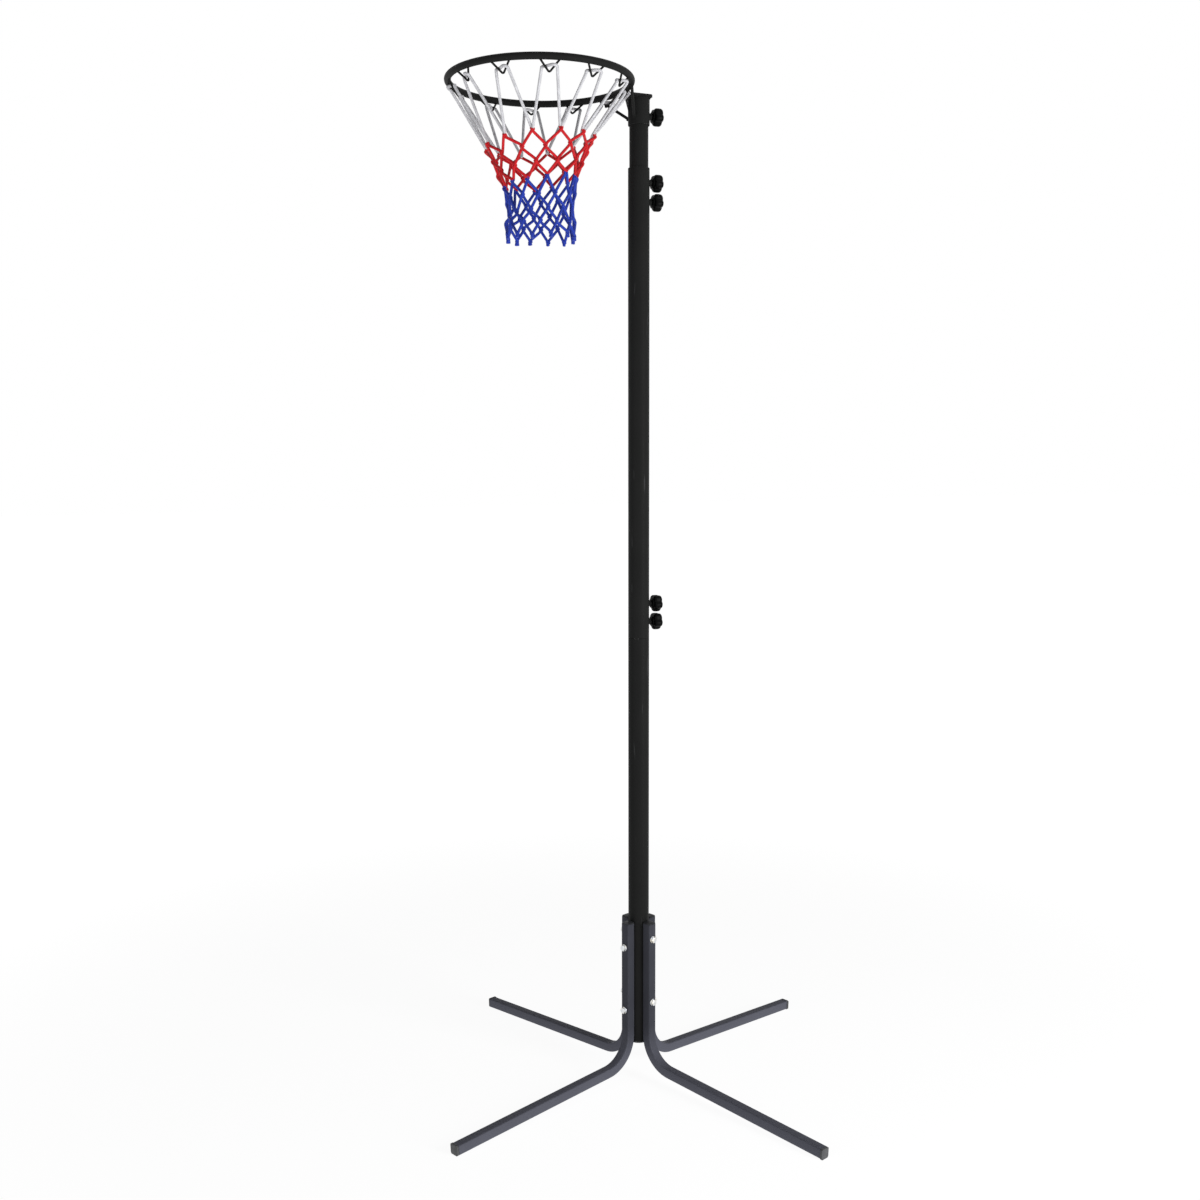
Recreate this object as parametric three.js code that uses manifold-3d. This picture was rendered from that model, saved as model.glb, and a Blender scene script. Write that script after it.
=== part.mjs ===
// A free-standing netball post: a telescopic pole on four bent square legs, with a ring that turns on
// the mast, wire net hooks and a three-colour net. Millimetres, +Z up, origin on the floor at the
// pole's axis. The ring reaches towards -X and the clamp knobs stand out towards +X.

import * as THREE from 'three';
import { mergeVertices } from 'three/addons/utils/BufferGeometryUtils.js';
import Module from 'manifold-3d';

const wasm = await Module();
wasm.setup();

// Clearances
const SEAT_GAP = 0.3;
const SLIDE_CLEARANCE = 0.95;
const SPIGOT_CLEARANCE = 0.3;
const HOLE_CLEARANCE = 0.3;
const CUT_OVERRUN = 2;

// Pole: lower, middle and upper tube
const POLE_DIAMETER = 48.3;
const POLE_WALL = 2;
const POLE_FOOT_HEIGHT = 86;
const LOWER_TUBE_LENGTH = 967;
const SPIGOT_LENGTH = 117;
const SPIGOT_WALL = 2;
const MIDDLE_TUBE_LENGTH = 1057;
const UPPER_TUBE_RISE = 151;
const UPPER_TUBE_WALL = 1.8;
const POLE_PLUG_FLANGE = 3;
const POLE_PLUG_DEPTH = 18;
const POLE_SIDES = 36;

// Legs
const LEG_NAMES = ['back_right', 'back_left', 'front_left', 'front_right'];
const FIRST_LEG_ANGLE = 20;
const LEG_SIZE = 22;
const LEG_WALL = 2;
const LEG_CORNER = 2.4;
const LEG_TOP_HEIGHT = 383;
const LEG_REACH = 556;
const LEG_BEND_RADIUS = 72;
const LEG_BEND_STEPS = 6;
const LEG_RUN_ANGLE = 3.1;
const CAP_THICKNESS = 5;
const CAP_LIP = 0.6;
const CAP_STEM = 16;
const FOOT_LIFT = 1;
const TOP_PLUG_FLANGE = 2.4;

// Through bolts of the base
const BOLT_DIAMETER = 8;
const BOLT_BOTTOM_RISE = 81.7;
const BOLT_TOP_DROP = 59;
const BOLT_STAGGER = 20.5;
const BOLT_HEAD_FLATS = 13;
const BOLT_HEAD_HEIGHT = 5.3;
const BOLT_FLANGE_DIAMETER = 16;
const BOLT_FLANGE_THICKNESS = 1.6;
const NUT_HEIGHT = 6.5;
const BOLT_PROTRUSION = 2.5;
const BOLT_SIDES = 12;
const HEXAGON_SIDES = 6;

// Clamp screws: a lobed knob on a stud, through a nut welded on the tube
const STUD_DIAMETER = 8;
const STUD_END_DISTANCE = 49;
const WELD_NUT_FLATS = 13;
const WELD_NUT_HEIGHT = 6.5;
const KNOB_DIAMETER = 40;
const KNOB_LOBES = 5;
const KNOB_LOBE_DEPTH = 3.8;
const KNOB_INNER_DISTANCE = 34.5;
const KNOB_THICKNESS = 21;
const KNOB_EDGE = 4.5;
const KNOB_HUB_DIAMETER = 23;
const KNOB_HUB_LENGTH = 3.4;
const KNOB_OUTLINE_POINTS = 30;
const RING_CLAMP_RISE = 22;
const MAST_CLAMP_DROP = 30;
const POLE_CLAMP_RISE = 36.5;
const CLAMP_SPACING = 42;

// Ring carrier on the mast: collar, top plate, web and braces
const COLLAR_WALL = 2;
const COLLAR_LENGTH = 59;
const TOP_PLATE_THICKNESS = 5;
const TOP_PLATE_END_OVERHANG = 0.6;
const TOP_PLATE_SIDE_OVERHANG = 0.6;
const TOP_PLATE_PAST_ROD = 5;
const TOP_PLATE_CORNER_RADIUS = 9;
const WEB_THICKNESS = 4;
const WEB_DEPTH = 33;
const WEB_REACH = 10;
const BRACE_DIAMETER = 6.5;
const BRACE_START_ANGLE = 140;
const BRACE_DROP = 43;
const BRACE_RING_ANGLE = 26;
const BRACE_SIDES = 10;

// Ring and hooks
const RING_INSIDE_DIAMETER = 380;
const RING_ROD_DIAMETER = 15;
const RING_TO_COLLAR = 6.3;
const RING_SIDES = 10;
const RING_SEGMENTS = 60;
const HOOK_COUNT = 12;
const HOOK_WIRE = 4.4;
const HOOK_HALF_WIDTH = 22;
const HOOK_DEPTH = 21;
const HOOK_LEAN = 15.5;
const HOOK_TIP_RADIUS = 3.2;
const HOOK_TIP_STEPS = 3;
const HOOK_SIDES = 6;

// Net: rows of knots below the ring, as shares of the net's length and of the ring's radius
const NET_CORD = 5;
const NET_LENGTH = 330;
const NET_DROP_SHARES = [0.386, 0.468, 0.558, 0.645, 0.746, 0.833, 0.912, 1];
const NET_RADIUS_SHARES = [0.604, 0.522, 0.462, 0.402, 0.368, 0.356, 0.37, 0.376];
const NET_PARTS = [
  { name: 'net_red', rows: [0, 3], finish: 'netRed' },
  { name: 'net_blue_upper', rows: [3, 5], finish: 'netBlue' },
  { name: 'net_blue_lower', rows: [5, 7], finish: 'netBlue' },
];
const NET_TIP_DEPTH = 6;
const NET_WANDER = 2.4;
const NET_TWIST = 11;
const NET_TILT = 13;
const NET_TILT_HEADING = -24;
const LEAST_KNOT_SLOPE_SHARE = 0.25;
const LOOP_CROSSING_DROP = 8.8;
const LOOP_SHOULDER = 14.5;
const LOOP_SPREAD = 17;
const LOOP_CROSSING_HALF = 6;
const LOOP_TAIL = 12;

const DEGREE = Math.PI / 180;
const MERGE_DISTANCE = 1e-4;

// Finishes
const finish = (color, roughness, metalness) =>
  new THREE.MeshStandardMaterial({ color, roughness, metalness });
const FINISHES = {
  pole: finish(0x1c1c1d, 0.45, 0.2),
  leg: finish(0x33343c, 0.5, 0.2),
  zinc: finish(0xc9ccd0, 0.35, 0.9),
  knob: finish(0x0c0d0d, 0.4, 0),
  cap: finish(0x3d4043, 0.6, 0),
  netWhite: finish(0xe6e6ea, 0.9, 0),
  netRed: finish(0xc01f2a, 0.9, 0),
  netBlue: finish(0x2436a0, 0.9, 0),
};

// Places that follow from the sizes above
const poleRadius = POLE_DIAMETER / 2;
const poleBore = poleRadius - POLE_WALL;
const spigotRadius = poleBore - SPIGOT_CLEARANCE;
const mastRadius = poleBore - SLIDE_CLEARANCE;
const collarBore = mastRadius + SLIDE_CLEARANCE;
const collarRadius = collarBore + COLLAR_WALL;

const lowerBottom = POLE_FOOT_HEIGHT + POLE_PLUG_FLANGE + SEAT_GAP;
const lowerShoulder = lowerBottom + LOWER_TUBE_LENGTH;
const spigotTop = lowerShoulder + SPIGOT_LENGTH;
const middleBottom = lowerShoulder + SEAT_GAP;
const middleTop = middleBottom + MIDDLE_TUBE_LENGTH;
const mastBottom = spigotTop + SEAT_GAP;
const mastTop = middleTop + UPPER_TUBE_RISE;
const collarBottom = mastTop - COLLAR_LENGTH;
const plateBottom = mastTop + SEAT_GAP;
const plateTop = plateBottom + TOP_PLATE_THICKNESS;

const ringRodRadius = RING_ROD_DIAMETER / 2;
const ringRadius = RING_INSIDE_DIAMETER / 2 + ringRodRadius;
const ringCentreX = -(collarRadius + RING_TO_COLLAR + ringRodRadius + ringRadius);
const ringHeight = plateTop + SEAT_GAP + ringRodRadius;

const legCentre = poleRadius + SEAT_GAP + LEG_SIZE / 2;
const legOutside = legCentre + LEG_SIZE / 2;
const legBoreSize = LEG_SIZE - 2 * LEG_WALL;

// Shapes and solids
const at = (x, y, z) => new THREE.Vector3(x, y, z);

// A path with one ring of the swept section at each of its stations
class StationPath extends THREE.Curve {
  constructor(stations) {
    super();
    this.stations = stations;
  }

  getPointAt(share, target = new THREE.Vector3()) {
    const place = share * (this.stations.length - 1);
    const before = Math.min(Math.floor(place), this.stations.length - 2);
    return target.lerpVectors(this.stations[before], this.stations[before + 1], place - before);
  }

  getPoint(share, target) {
    return this.getPointAt(share, target);
  }

  getTangentAt(share, target = new THREE.Vector3()) {
    const last = this.stations.length - 1;
    const index = Math.round(share * last);
    const here = this.stations[index];
    target.set(0, 0, 0);
    if (index > 0) target.add(here.clone().sub(this.stations[index - 1]).normalize());
    if (index < last) target.add(this.stations[index + 1].clone().sub(here).normalize());
    return target.normalize();
  }
}

// A straight, a round bend and a straight, as stations
function bentStations(start, corner, end, radius, steps) {
  const back = start.clone().sub(corner).normalize();
  const ahead = end.clone().sub(corner).normalize();
  const halfAngle = back.angleTo(ahead) / 2;
  const reach = radius / Math.tan(halfAngle);
  const inward = back.clone().add(ahead).normalize();
  const centre = corner.clone().addScaledVector(inward, radius / Math.sin(halfAngle));
  const first = back.clone().multiplyScalar(reach).add(corner).sub(centre);
  const last = ahead.clone().multiplyScalar(reach).add(corner).sub(centre);
  const turn = first.angleTo(last);
  const stations = [start];
  for (let step = 0; step <= steps; step += 1) {
    const share = step / steps;
    const fromFirst = Math.sin((1 - share) * turn) / Math.sin(turn);
    const fromLast = Math.sin(share * turn) / Math.sin(turn);
    stations.push(first.clone().multiplyScalar(fromFirst).addScaledVector(last, fromLast).add(centre));
  }
  stations.push(end);
  return stations;
}

function sweep(section, stations) {
  return new THREE.ExtrudeGeometry(section, {
    steps: stations.length - 1,
    bevelEnabled: false,
    extrudePath: new StationPath(stations),
  });
}

function circleSection(radius, sides) {
  const points = [];
  for (let side = 0; side < sides; side += 1) {
    const angle = ((side + 1 / 2) * 2 * Math.PI) / sides;
    points.push(new THREE.Vector2(radius * Math.cos(angle), radius * Math.sin(angle)));
  }
  return new THREE.Shape(points);
}

// The outline of a square with cut corners, or with rounder ones of two cuts each
function squarePoints(size, corner, rounded) {
  const half = size / 2;
  const flat = half - corner;
  const mid = half - corner * (1 - Math.SQRT1_2);
  const side = [[half, -flat], [half, flat]];
  const quarter = rounded ? [...side, [mid, mid]] : side;
  const points = [];
  for (let turn = 0; turn < 4; turn += 1) {
    for (const [x, y] of quarter) {
      points.push(new THREE.Vector2(x, y).rotateAround(new THREE.Vector2(), (turn * Math.PI) / 2));
    }
  }
  return points;
}

function squareTubeSection(size, corner, wall) {
  const section = new THREE.Shape(squarePoints(size, corner, true));
  section.holes.push(new THREE.Path(squarePoints(size - 2 * wall, corner / 2, false)));
  return section;
}

// A block of square section that stands on its bottom height
function squareBlock(size, corner, bottom, top) {
  const section = new THREE.Shape(squarePoints(size, corner, false));
  return new THREE.ExtrudeGeometry(section, { depth: top - bottom, bevelEnabled: false })
    .translate(0, 0, bottom);
}

// A turned piece about Z from pairs of radius and height
function turned(profile, sides) {
  const points = profile.map(([radius, height]) => new THREE.Vector2(radius, height));
  if (points[0].x > 0) points.push(points[0].clone());
  return facingOut(new THREE.LatheGeometry(points, sides).rotateX(Math.PI / 2));
}

function roundTube(outer, inner, bottom, top, sides) {
  return turned([[inner, bottom], [outer, bottom], [outer, top], [inner, top]], sides);
}

function rod(from, to, radius, sides) {
  const along = to.clone().sub(from);
  const middle = from.clone().add(to).multiplyScalar(1 / 2);
  const turn = new THREE.Quaternion().setFromUnitVectors(at(0, 1, 0), along.clone().normalize());
  return new THREE.CylinderGeometry(radius, radius, along.length(), sides)
    .applyQuaternion(turn)
    .translate(middle.x, middle.y, middle.z);
}

// A rod along X
function barX(from, to, radius, height, sides) {
  return rod(at(from, 0, height), at(to, 0, height), radius, sides);
}

const hexRadius = (flats) => flats / 2 / Math.cos(Math.PI / HEXAGON_SIDES);

function signedVolume(geometry) {
  const place = geometry.getAttribute('position');
  const corners = [at(0, 0, 0), at(0, 0, 0), at(0, 0, 0)];
  let volume = 0;
  const count = geometry.index ? geometry.index.count : place.count;
  for (let start = 0; start < count; start += 3) {
    corners.forEach((corner, offset) => {
      const index = geometry.index ? geometry.index.getX(start + offset) : start + offset;
      corner.fromBufferAttribute(place, index);
    });
    volume += corners[0].dot(corners[1].clone().cross(corners[2])) / 6;
  }
  return volume;
}

function facingOut(geometry) {
  if (signedVolume(geometry) > 0) return geometry;
  const index = Array.from(geometry.index.array);
  for (let start = 0; start < index.length; start += 3) {
    [index[start], index[start + 1]] = [index[start + 1], index[start]];
  }
  geometry.setIndex(index);
  geometry.computeVertexNormals();
  return geometry;
}

// Booleans
function toSolid(geometry) {
  const bare = geometry.clone();
  bare.deleteAttribute('normal');
  bare.deleteAttribute('uv');
  const merged = mergeVertices(bare, MERGE_DISTANCE);
  const triangles = [];
  for (let start = 0; start < merged.index.count; start += 3) {
    const [a, b, c] = [0, 1, 2].map((offset) => merged.index.getX(start + offset));
    if (a !== b && b !== c && c !== a) triangles.push(a, b, c);
  }
  return new wasm.Manifold(new wasm.Mesh({
    numProp: 3,
    vertProperties: new Float32Array(merged.getAttribute('position').array),
    triVerts: new Uint32Array(triangles),
  }));
}

function fromSolid(solid) {
  const mesh = solid.getMesh();
  const geometry = new THREE.BufferGeometry();
  geometry.setAttribute('position', new THREE.BufferAttribute(mesh.vertProperties, 3));
  geometry.setIndex(new THREE.BufferAttribute(mesh.triVerts, 1));
  geometry.computeVertexNormals();
  return geometry;
}

function cut(geometry, ...cutters) {
  return fromSolid(cutters.reduce((solid, cutter) => solid.subtract(toSolid(cutter)), toSolid(geometry)));
}

function join(geometry, ...others) {
  return fromSolid(others.reduce((solid, other) => solid.add(toSolid(other)), toSolid(geometry)));
}

function keep(geometry, tool) {
  return fromSolid(toSolid(geometry).intersect(toSolid(tool)));
}

function piece(name, geometry, material) {
  const mesh = new THREE.Mesh(geometry, material);
  mesh.name = name;
  return mesh;
}

function turnedGroup(heading, ...members) {
  const group = new THREE.Group();
  group.rotation.z = heading * DEGREE;
  group.add(...members);
  return group;
}

// The legs' headings, and the bolts of the base: each line of bolts runs through two opposite legs
const legStep = 360 / LEG_NAMES.length;
const legHeading = (index) => FIRST_LEG_ANGLE + index * legStep;
const boltHeights = [lowerBottom + BOLT_BOTTOM_RISE, LEG_TOP_HEIGHT - BOLT_TOP_DROP];
const boltLines = [
  { heading: legHeading(0), heights: boltHeights, name: 'a' },
  { heading: legHeading(1), heights: boltHeights.map((height) => height + BOLT_STAGGER), name: 'b' },
];
const boltHoleRadius = BOLT_DIAMETER / 2 + HOLE_CLEARANCE;

// Clamp screws: height, the radius that the stud presses on, and the radius that carries the nut
const clampAt = (height, press, carrier) => ({ height, press, carrier });
const mastClampHeight = middleTop - MAST_CLAMP_DROP;
const poleClampHeight = middleBottom + POLE_CLAMP_RISE;
const clamps = {
  ring: clampAt(collarBottom + RING_CLAMP_RISE, mastRadius, collarRadius),
  mast_upper: clampAt(mastClampHeight, mastRadius, poleRadius),
  mast_lower: clampAt(mastClampHeight - CLAMP_SPACING, mastRadius, poleRadius),
  pole_upper: clampAt(poleClampHeight + CLAMP_SPACING, spigotRadius, poleRadius),
  pole_lower: clampAt(poleClampHeight, spigotRadius, poleRadius),
};
const studHoleRadius = STUD_DIAMETER / 2 + HOLE_CLEARANCE;

// Pole tubes
function lowerTube() {
  const profile = [
    [poleBore, lowerBottom],
    [poleRadius, lowerBottom],
    [poleRadius, lowerShoulder],
    [spigotRadius, lowerShoulder],
    [spigotRadius, spigotTop],
    [spigotRadius - SPIGOT_WALL, spigotTop],
    [spigotRadius - SPIGOT_WALL, lowerShoulder - POLE_WALL],
    [poleBore, lowerShoulder - POLE_WALL],
  ];
  const drills = boltLines.flatMap(({ heading, heights }) => heights.map((height) =>
    barX(-poleRadius - CUT_OVERRUN, poleRadius + CUT_OVERRUN, boltHoleRadius, height, BOLT_SIDES)
      .rotateZ(heading * DEGREE)));
  return cut(turned(profile, POLE_SIDES), ...drills);
}

function clampDrill({ height, carrier }) {
  return barX(0, carrier + CUT_OVERRUN, studHoleRadius, height, BOLT_SIDES);
}

function middleTube() {
  const names = ['mast_upper', 'mast_lower', 'pole_upper', 'pole_lower'];
  const drills = names.map((name) => clampDrill(clamps[name]));
  return cut(roundTube(poleRadius, poleBore, middleBottom, middleTop, POLE_SIDES), ...drills);
}

function upperTube() {
  return roundTube(mastRadius, mastRadius - UPPER_TUBE_WALL, mastBottom, mastTop, POLE_SIDES);
}

function poleBottomPlug() {
  const stem = poleBore - SEAT_GAP;
  const flangeTop = POLE_FOOT_HEIGHT + POLE_PLUG_FLANGE;
  return turned([
    [0, POLE_FOOT_HEIGHT],
    [poleRadius, POLE_FOOT_HEIGHT],
    [poleRadius, flangeTop],
    [stem, flangeTop],
    [stem, flangeTop + POLE_PLUG_DEPTH],
    [0, flangeTop + POLE_PLUG_DEPTH],
  ], POLE_SIDES);
}

// A leg in its own frame, running out along +X
const runFall = Math.tan(LEG_RUN_ANGLE * DEGREE);
const legTip = LEG_REACH - CAP_THICKNESS;
const legTipHeight = FOOT_LIFT + LEG_SIZE / 2 / Math.cos(LEG_RUN_ANGLE * DEGREE);
const legTopPlugBottom = LEG_TOP_HEIGHT - TOP_PLUG_FLANGE;
const legTubeTop = legTopPlugBottom - SEAT_GAP;

function leg(heights) {
  const corner = at(legCentre, 0, legTipHeight + (legTip - legCentre) * runFall);
  const stations = bentStations(at(legCentre, 0, legTubeTop), corner, at(legTip, 0, legTipHeight),
    LEG_BEND_RADIUS, LEG_BEND_STEPS);
  const tube = sweep(squareTubeSection(LEG_SIZE, LEG_CORNER, LEG_WALL), stations);
  const drills = heights.map((height) =>
    barX(legCentre - LEG_SIZE, legCentre + LEG_SIZE, boltHoleRadius, height, BOLT_SIDES));
  return cut(tube, ...drills);
}

// The end cap's flange fills the leg's section and stands on the floor
function footCap() {
  const lip = LEG_SIZE + 2 * CAP_LIP;
  const alongLeg = (geometry) => geometry
    .rotateY(Math.PI / 2 + LEG_RUN_ANGLE * DEGREE)
    .translate(legTip, 0, legTipHeight);
  const flange = alongLeg(squareBlock(lip, LEG_CORNER, SEAT_GAP, CAP_THICKNESS));
  const stem = alongLeg(
    squareBlock(legBoreSize - 2 * SEAT_GAP, LEG_CORNER / 2, -CAP_STEM, CAP_THICKNESS / 2),
  );
  const pad = new THREE.BoxGeometry(CAP_THICKNESS - 2 * SEAT_GAP, lip - 2 * LEG_CORNER, LEG_SIZE / 2)
    .translate(legTip + CAP_THICKNESS / 2, 0, LEG_SIZE / 4);
  const aboveFloor = new THREE.BoxGeometry(LEG_REACH, LEG_REACH, LEG_REACH)
    .translate(legTip, 0, LEG_REACH / 2);
  return keep(join(flange, stem, pad), aboveFloor);
}

function legTopPlug() {
  const flange = squareBlock(LEG_SIZE, LEG_CORNER, legTopPlugBottom, LEG_TOP_HEIGHT);
  const stem = squareBlock(legBoreSize - 2 * SEAT_GAP, LEG_CORNER / 2, legTopPlugBottom - CAP_STEM,
    LEG_TOP_HEIGHT - TOP_PLUG_FLANGE / 2);
  return join(flange, stem).translate(legCentre, 0, 0);
}

// Bolts lie along X, heads towards -X
const boltSeat = legOutside + SEAT_GAP;
const nutOuter = boltSeat + BOLT_FLANGE_THICKNESS + NUT_HEIGHT;

function baseBolt(height) {
  const flangeOuter = boltSeat + BOLT_FLANGE_THICKNESS;
  const flange = barX(-flangeOuter, -boltSeat, BOLT_FLANGE_DIAMETER / 2, height, 2 * BOLT_SIDES);
  const head = barX(-flangeOuter - BOLT_HEAD_HEIGHT, -boltSeat - BOLT_FLANGE_THICKNESS / 2,
    hexRadius(BOLT_HEAD_FLATS), height, HEXAGON_SIDES);
  const shank = barX(-boltSeat - BOLT_FLANGE_THICKNESS, nutOuter + BOLT_PROTRUSION, BOLT_DIAMETER / 2,
    height, BOLT_SIDES);
  return join(flange, head, shank);
}

function baseNut(height) {
  const flange = barX(boltSeat, boltSeat + BOLT_FLANGE_THICKNESS, BOLT_FLANGE_DIAMETER / 2, height,
    2 * BOLT_SIDES);
  const hexagonFrom = boltSeat + BOLT_FLANGE_THICKNESS / 2;
  const hexagon = barX(hexagonFrom, nutOuter, hexRadius(BOLT_HEAD_FLATS), height, HEXAGON_SIDES);
  const bore = barX(boltSeat - CUT_OVERRUN, nutOuter + CUT_OVERRUN, boltHoleRadius, height, BOLT_SIDES);
  return cut(join(flange, hexagon), bore);
}

// Clamp screws, along +X at their own height
function weldNut({ carrier }) {
  const outer = carrier + WELD_NUT_HEIGHT;
  const hexagon = barX(carrier - WELD_NUT_HEIGHT / 2, outer, hexRadius(WELD_NUT_FLATS), 0, HEXAGON_SIDES);
  const bore = barX(0, outer + CUT_OVERRUN, studHoleRadius, 0, BOLT_SIDES);
  const seat = turned([
    [0, -KNOB_DIAMETER],
    [carrier + SEAT_GAP, -KNOB_DIAMETER],
    [carrier + SEAT_GAP, KNOB_DIAMETER],
    [0, KNOB_DIAMETER],
  ], POLE_SIDES);
  return cut(hexagon, bore, seat);
}

function clampStud({ press }) {
  return barX(press + SEAT_GAP, STUD_END_DISTANCE, STUD_DIAMETER / 2, 0, BOLT_SIDES);
}

function clampKnob() {
  const points = [];
  const mean = (KNOB_DIAMETER - KNOB_LOBE_DEPTH) / 2 - KNOB_EDGE;
  for (let index = 0; index < KNOB_OUTLINE_POINTS; index += 1) {
    const angle = (index / KNOB_OUTLINE_POINTS) * 2 * Math.PI;
    const radius = mean + (KNOB_LOBE_DEPTH / 2) * Math.cos(KNOB_LOBES * angle);
    points.push(new THREE.Vector2(radius * Math.cos(angle), radius * Math.sin(angle)));
  }
  const body = new THREE.ExtrudeGeometry(new THREE.Shape(points), {
    depth: KNOB_THICKNESS - 2 * KNOB_EDGE,
    bevelThickness: KNOB_EDGE,
    bevelSize: KNOB_EDGE,
    bevelSegments: 2,
  }).translate(0, 0, KNOB_INNER_DISTANCE + KNOB_EDGE).rotateY(Math.PI / 2);
  const hub = barX(KNOB_INNER_DISTANCE - KNOB_HUB_LENGTH, KNOB_INNER_DISTANCE + KNOB_EDGE,
    KNOB_HUB_DIAMETER / 2, 0, 2 * BOLT_SIDES);
  const bore = barX(0, STUD_END_DISTANCE + SEAT_GAP, studHoleRadius, 0, BOLT_SIDES);
  return cut(join(body, hub), bore);
}

// Ring carrier
const ringCut = new THREE.TorusGeometry(ringRadius, ringRodRadius + SEAT_GAP, RING_SIDES, RING_SEGMENTS)
  .translate(ringCentreX, 0, ringHeight);
const collarCut = turned([
  [0, collarBottom - COLLAR_LENGTH],
  [collarRadius + SEAT_GAP, collarBottom - COLLAR_LENGTH],
  [collarRadius + SEAT_GAP, mastTop + COLLAR_LENGTH],
  [0, mastTop + COLLAR_LENGTH],
], POLE_SIDES);

function ringCollar() {
  const tube = roundTube(collarRadius, collarBore, collarBottom, mastTop, POLE_SIDES);
  return cut(tube, clampDrill(clamps.ring));
}

// The web under the plate, between collar and ring
function plateWeb() {
  const top = (plateBottom + plateTop) / 2;
  const outline = new THREE.Shape([
    new THREE.Vector2(-collarRadius, top),
    new THREE.Vector2(-collarRadius - WEB_REACH, top),
    new THREE.Vector2(-collarRadius - WEB_REACH, plateBottom),
    new THREE.Vector2(-collarRadius - SEAT_GAP, plateBottom - WEB_DEPTH),
    new THREE.Vector2(-collarRadius, plateBottom - WEB_DEPTH),
  ]);
  const web = new THREE.ExtrudeGeometry(outline, { depth: WEB_THICKNESS, bevelEnabled: false })
    .translate(0, 0, -WEB_THICKNESS / 2)
    .rotateX(Math.PI / 2);
  return cut(web, collarCut);
}

function topPlate() {
  const end = collarRadius + TOP_PLATE_END_OVERHANG;
  const ringSide = ringCentreX + ringRadius - TOP_PLATE_PAST_ROD;
  const side = collarRadius + TOP_PLATE_SIDE_OVERHANG;
  const corner = TOP_PLATE_CORNER_RADIUS;
  const outline = new THREE.Shape()
    .moveTo(ringSide, -side)
    .lineTo(end - corner, -side)
    .absarc(end - corner, corner - side, corner, -Math.PI / 2, 0, false)
    .absarc(end - corner, side - corner, corner, 0, Math.PI / 2, false)
    .lineTo(ringSide, side);
  const plate = new THREE.ExtrudeGeometry(outline, { depth: TOP_PLATE_THICKNESS, bevelEnabled: false })
    .translate(0, 0, plateBottom);
  return join(plate, plateWeb());
}

function ringBrace(side) {
  const startAngle = BRACE_START_ANGLE * DEGREE;
  const ringAngle = BRACE_RING_ANGLE * DEGREE;
  const start = at(collarRadius * Math.cos(startAngle), side * collarRadius * Math.sin(startAngle),
    mastTop - BRACE_DROP);
  const end = at(ringCentreX + ringRadius * Math.cos(ringAngle), side * ringRadius * Math.sin(ringAngle),
    ringHeight - ringRodRadius / 2);
  return cut(rod(start, end, BRACE_DIAMETER / 2, BRACE_SIDES), ringCut, collarCut);
}

// Ring, hooks and net share a frame at the ring's centre
function ring() {
  return new THREE.TorusGeometry(ringRadius, ringRodRadius, RING_SIDES, RING_SEGMENTS);
}

// A wire V below the ring, at local angle zero, its tip leaning in over the net
const hookTip = -ringRodRadius - HOOK_DEPTH;
const hookStart = -ringRodRadius / 2;
const leanAt = (height) => (HOOK_LEAN * (height - hookStart)) / (hookTip - hookStart);

function hook() {
  const stations = bentStations(
    at(ringRadius, -HOOK_HALF_WIDTH, hookStart),
    at(ringRadius - HOOK_LEAN, 0, hookTip),
    at(ringRadius, HOOK_HALF_WIDTH, hookStart),
    HOOK_TIP_RADIUS,
    HOOK_TIP_STEPS,
  );
  const wire = sweep(circleSection(HOOK_WIRE / 2, HOOK_SIDES), stations);
  return cut(wire, ringCut.clone().translate(-ringCentreX, 0, -ringHeight));
}

// Net cords as one closed surface: knots are diamonds and cords are square bars between their sides
class CordSurface {
  constructor() {
    this.places = [];
    this.triangles = [];
  }

  corner(place) {
    this.places.push(place.x, place.y, place.z);
    return this.places.length / 3 - 1;
  }

  face(...corners) {
    for (let index = 2; index < corners.length; index += 1) {
      this.triangles.push(corners[0], corners[index - 1], corners[index]);
    }
  }

  link(from, to) {
    for (let side = 0; side < 4; side += 1) {
      const next = (side + 1) % 4;
      this.face(from[side], from[next], to[next], to[side]);
    }
  }

  geometry() {
    const geometry = new THREE.BufferGeometry();
    geometry.setAttribute('position', new THREE.Float32BufferAttribute(this.places, 3));
    geometry.setIndex(this.triangles);
    geometry.computeVertexNormals();
    return geometry;
  }
}

const sideRing = (first, second) => [first.outer, second.outer, second.inner, first.inner];

// A knot's place: neighbouring rows are turned by half a step, the net hangs a little twisted and
// askew, and each knot strays
const knotStep = (2 * Math.PI) / HOOK_COUNT;
const [firstShare] = NET_DROP_SHARES;
const rowTwist = (row) => (NET_TWIST * DEGREE * (NET_DROP_SHARES[row] - firstShare)) / (1 - firstShare);
const rowPhase = (row) => ((row % 2) * knotStep) / 2 + rowTwist(row);
const rowTilt = (row) => NET_TILT * Math.sin(Math.PI * NET_DROP_SHARES[row]);

function knotPlace(row, index) {
  const stray = NET_WANDER * Math.sin(row * row + index * (row + 1));
  const radius = ringRadius * NET_RADIUS_SHARES[row] + stray / 2;
  const angle = rowPhase(row) + index * knotStep + stray / radius;
  const lift = rowTilt(row) * Math.cos(angle - NET_TILT_HEADING * DEGREE);
  const drop = NET_LENGTH * NET_DROP_SHARES[row] - stray - lift;
  return { angle, radius, centre: at(radius * Math.cos(angle), radius * Math.sin(angle), -drop) };
}

// The slope of the cords between two rows, as rise over run
function rowSlope(upper, lower) {
  const rise = NET_LENGTH * (NET_DROP_SHARES[lower] - NET_DROP_SHARES[upper]);
  const meanRadius = (ringRadius * (NET_RADIUS_SHARES[lower] + NET_RADIUS_SHARES[upper])) / 2;
  return (meanRadius * knotStep) / 2 / rise;
}

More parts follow.
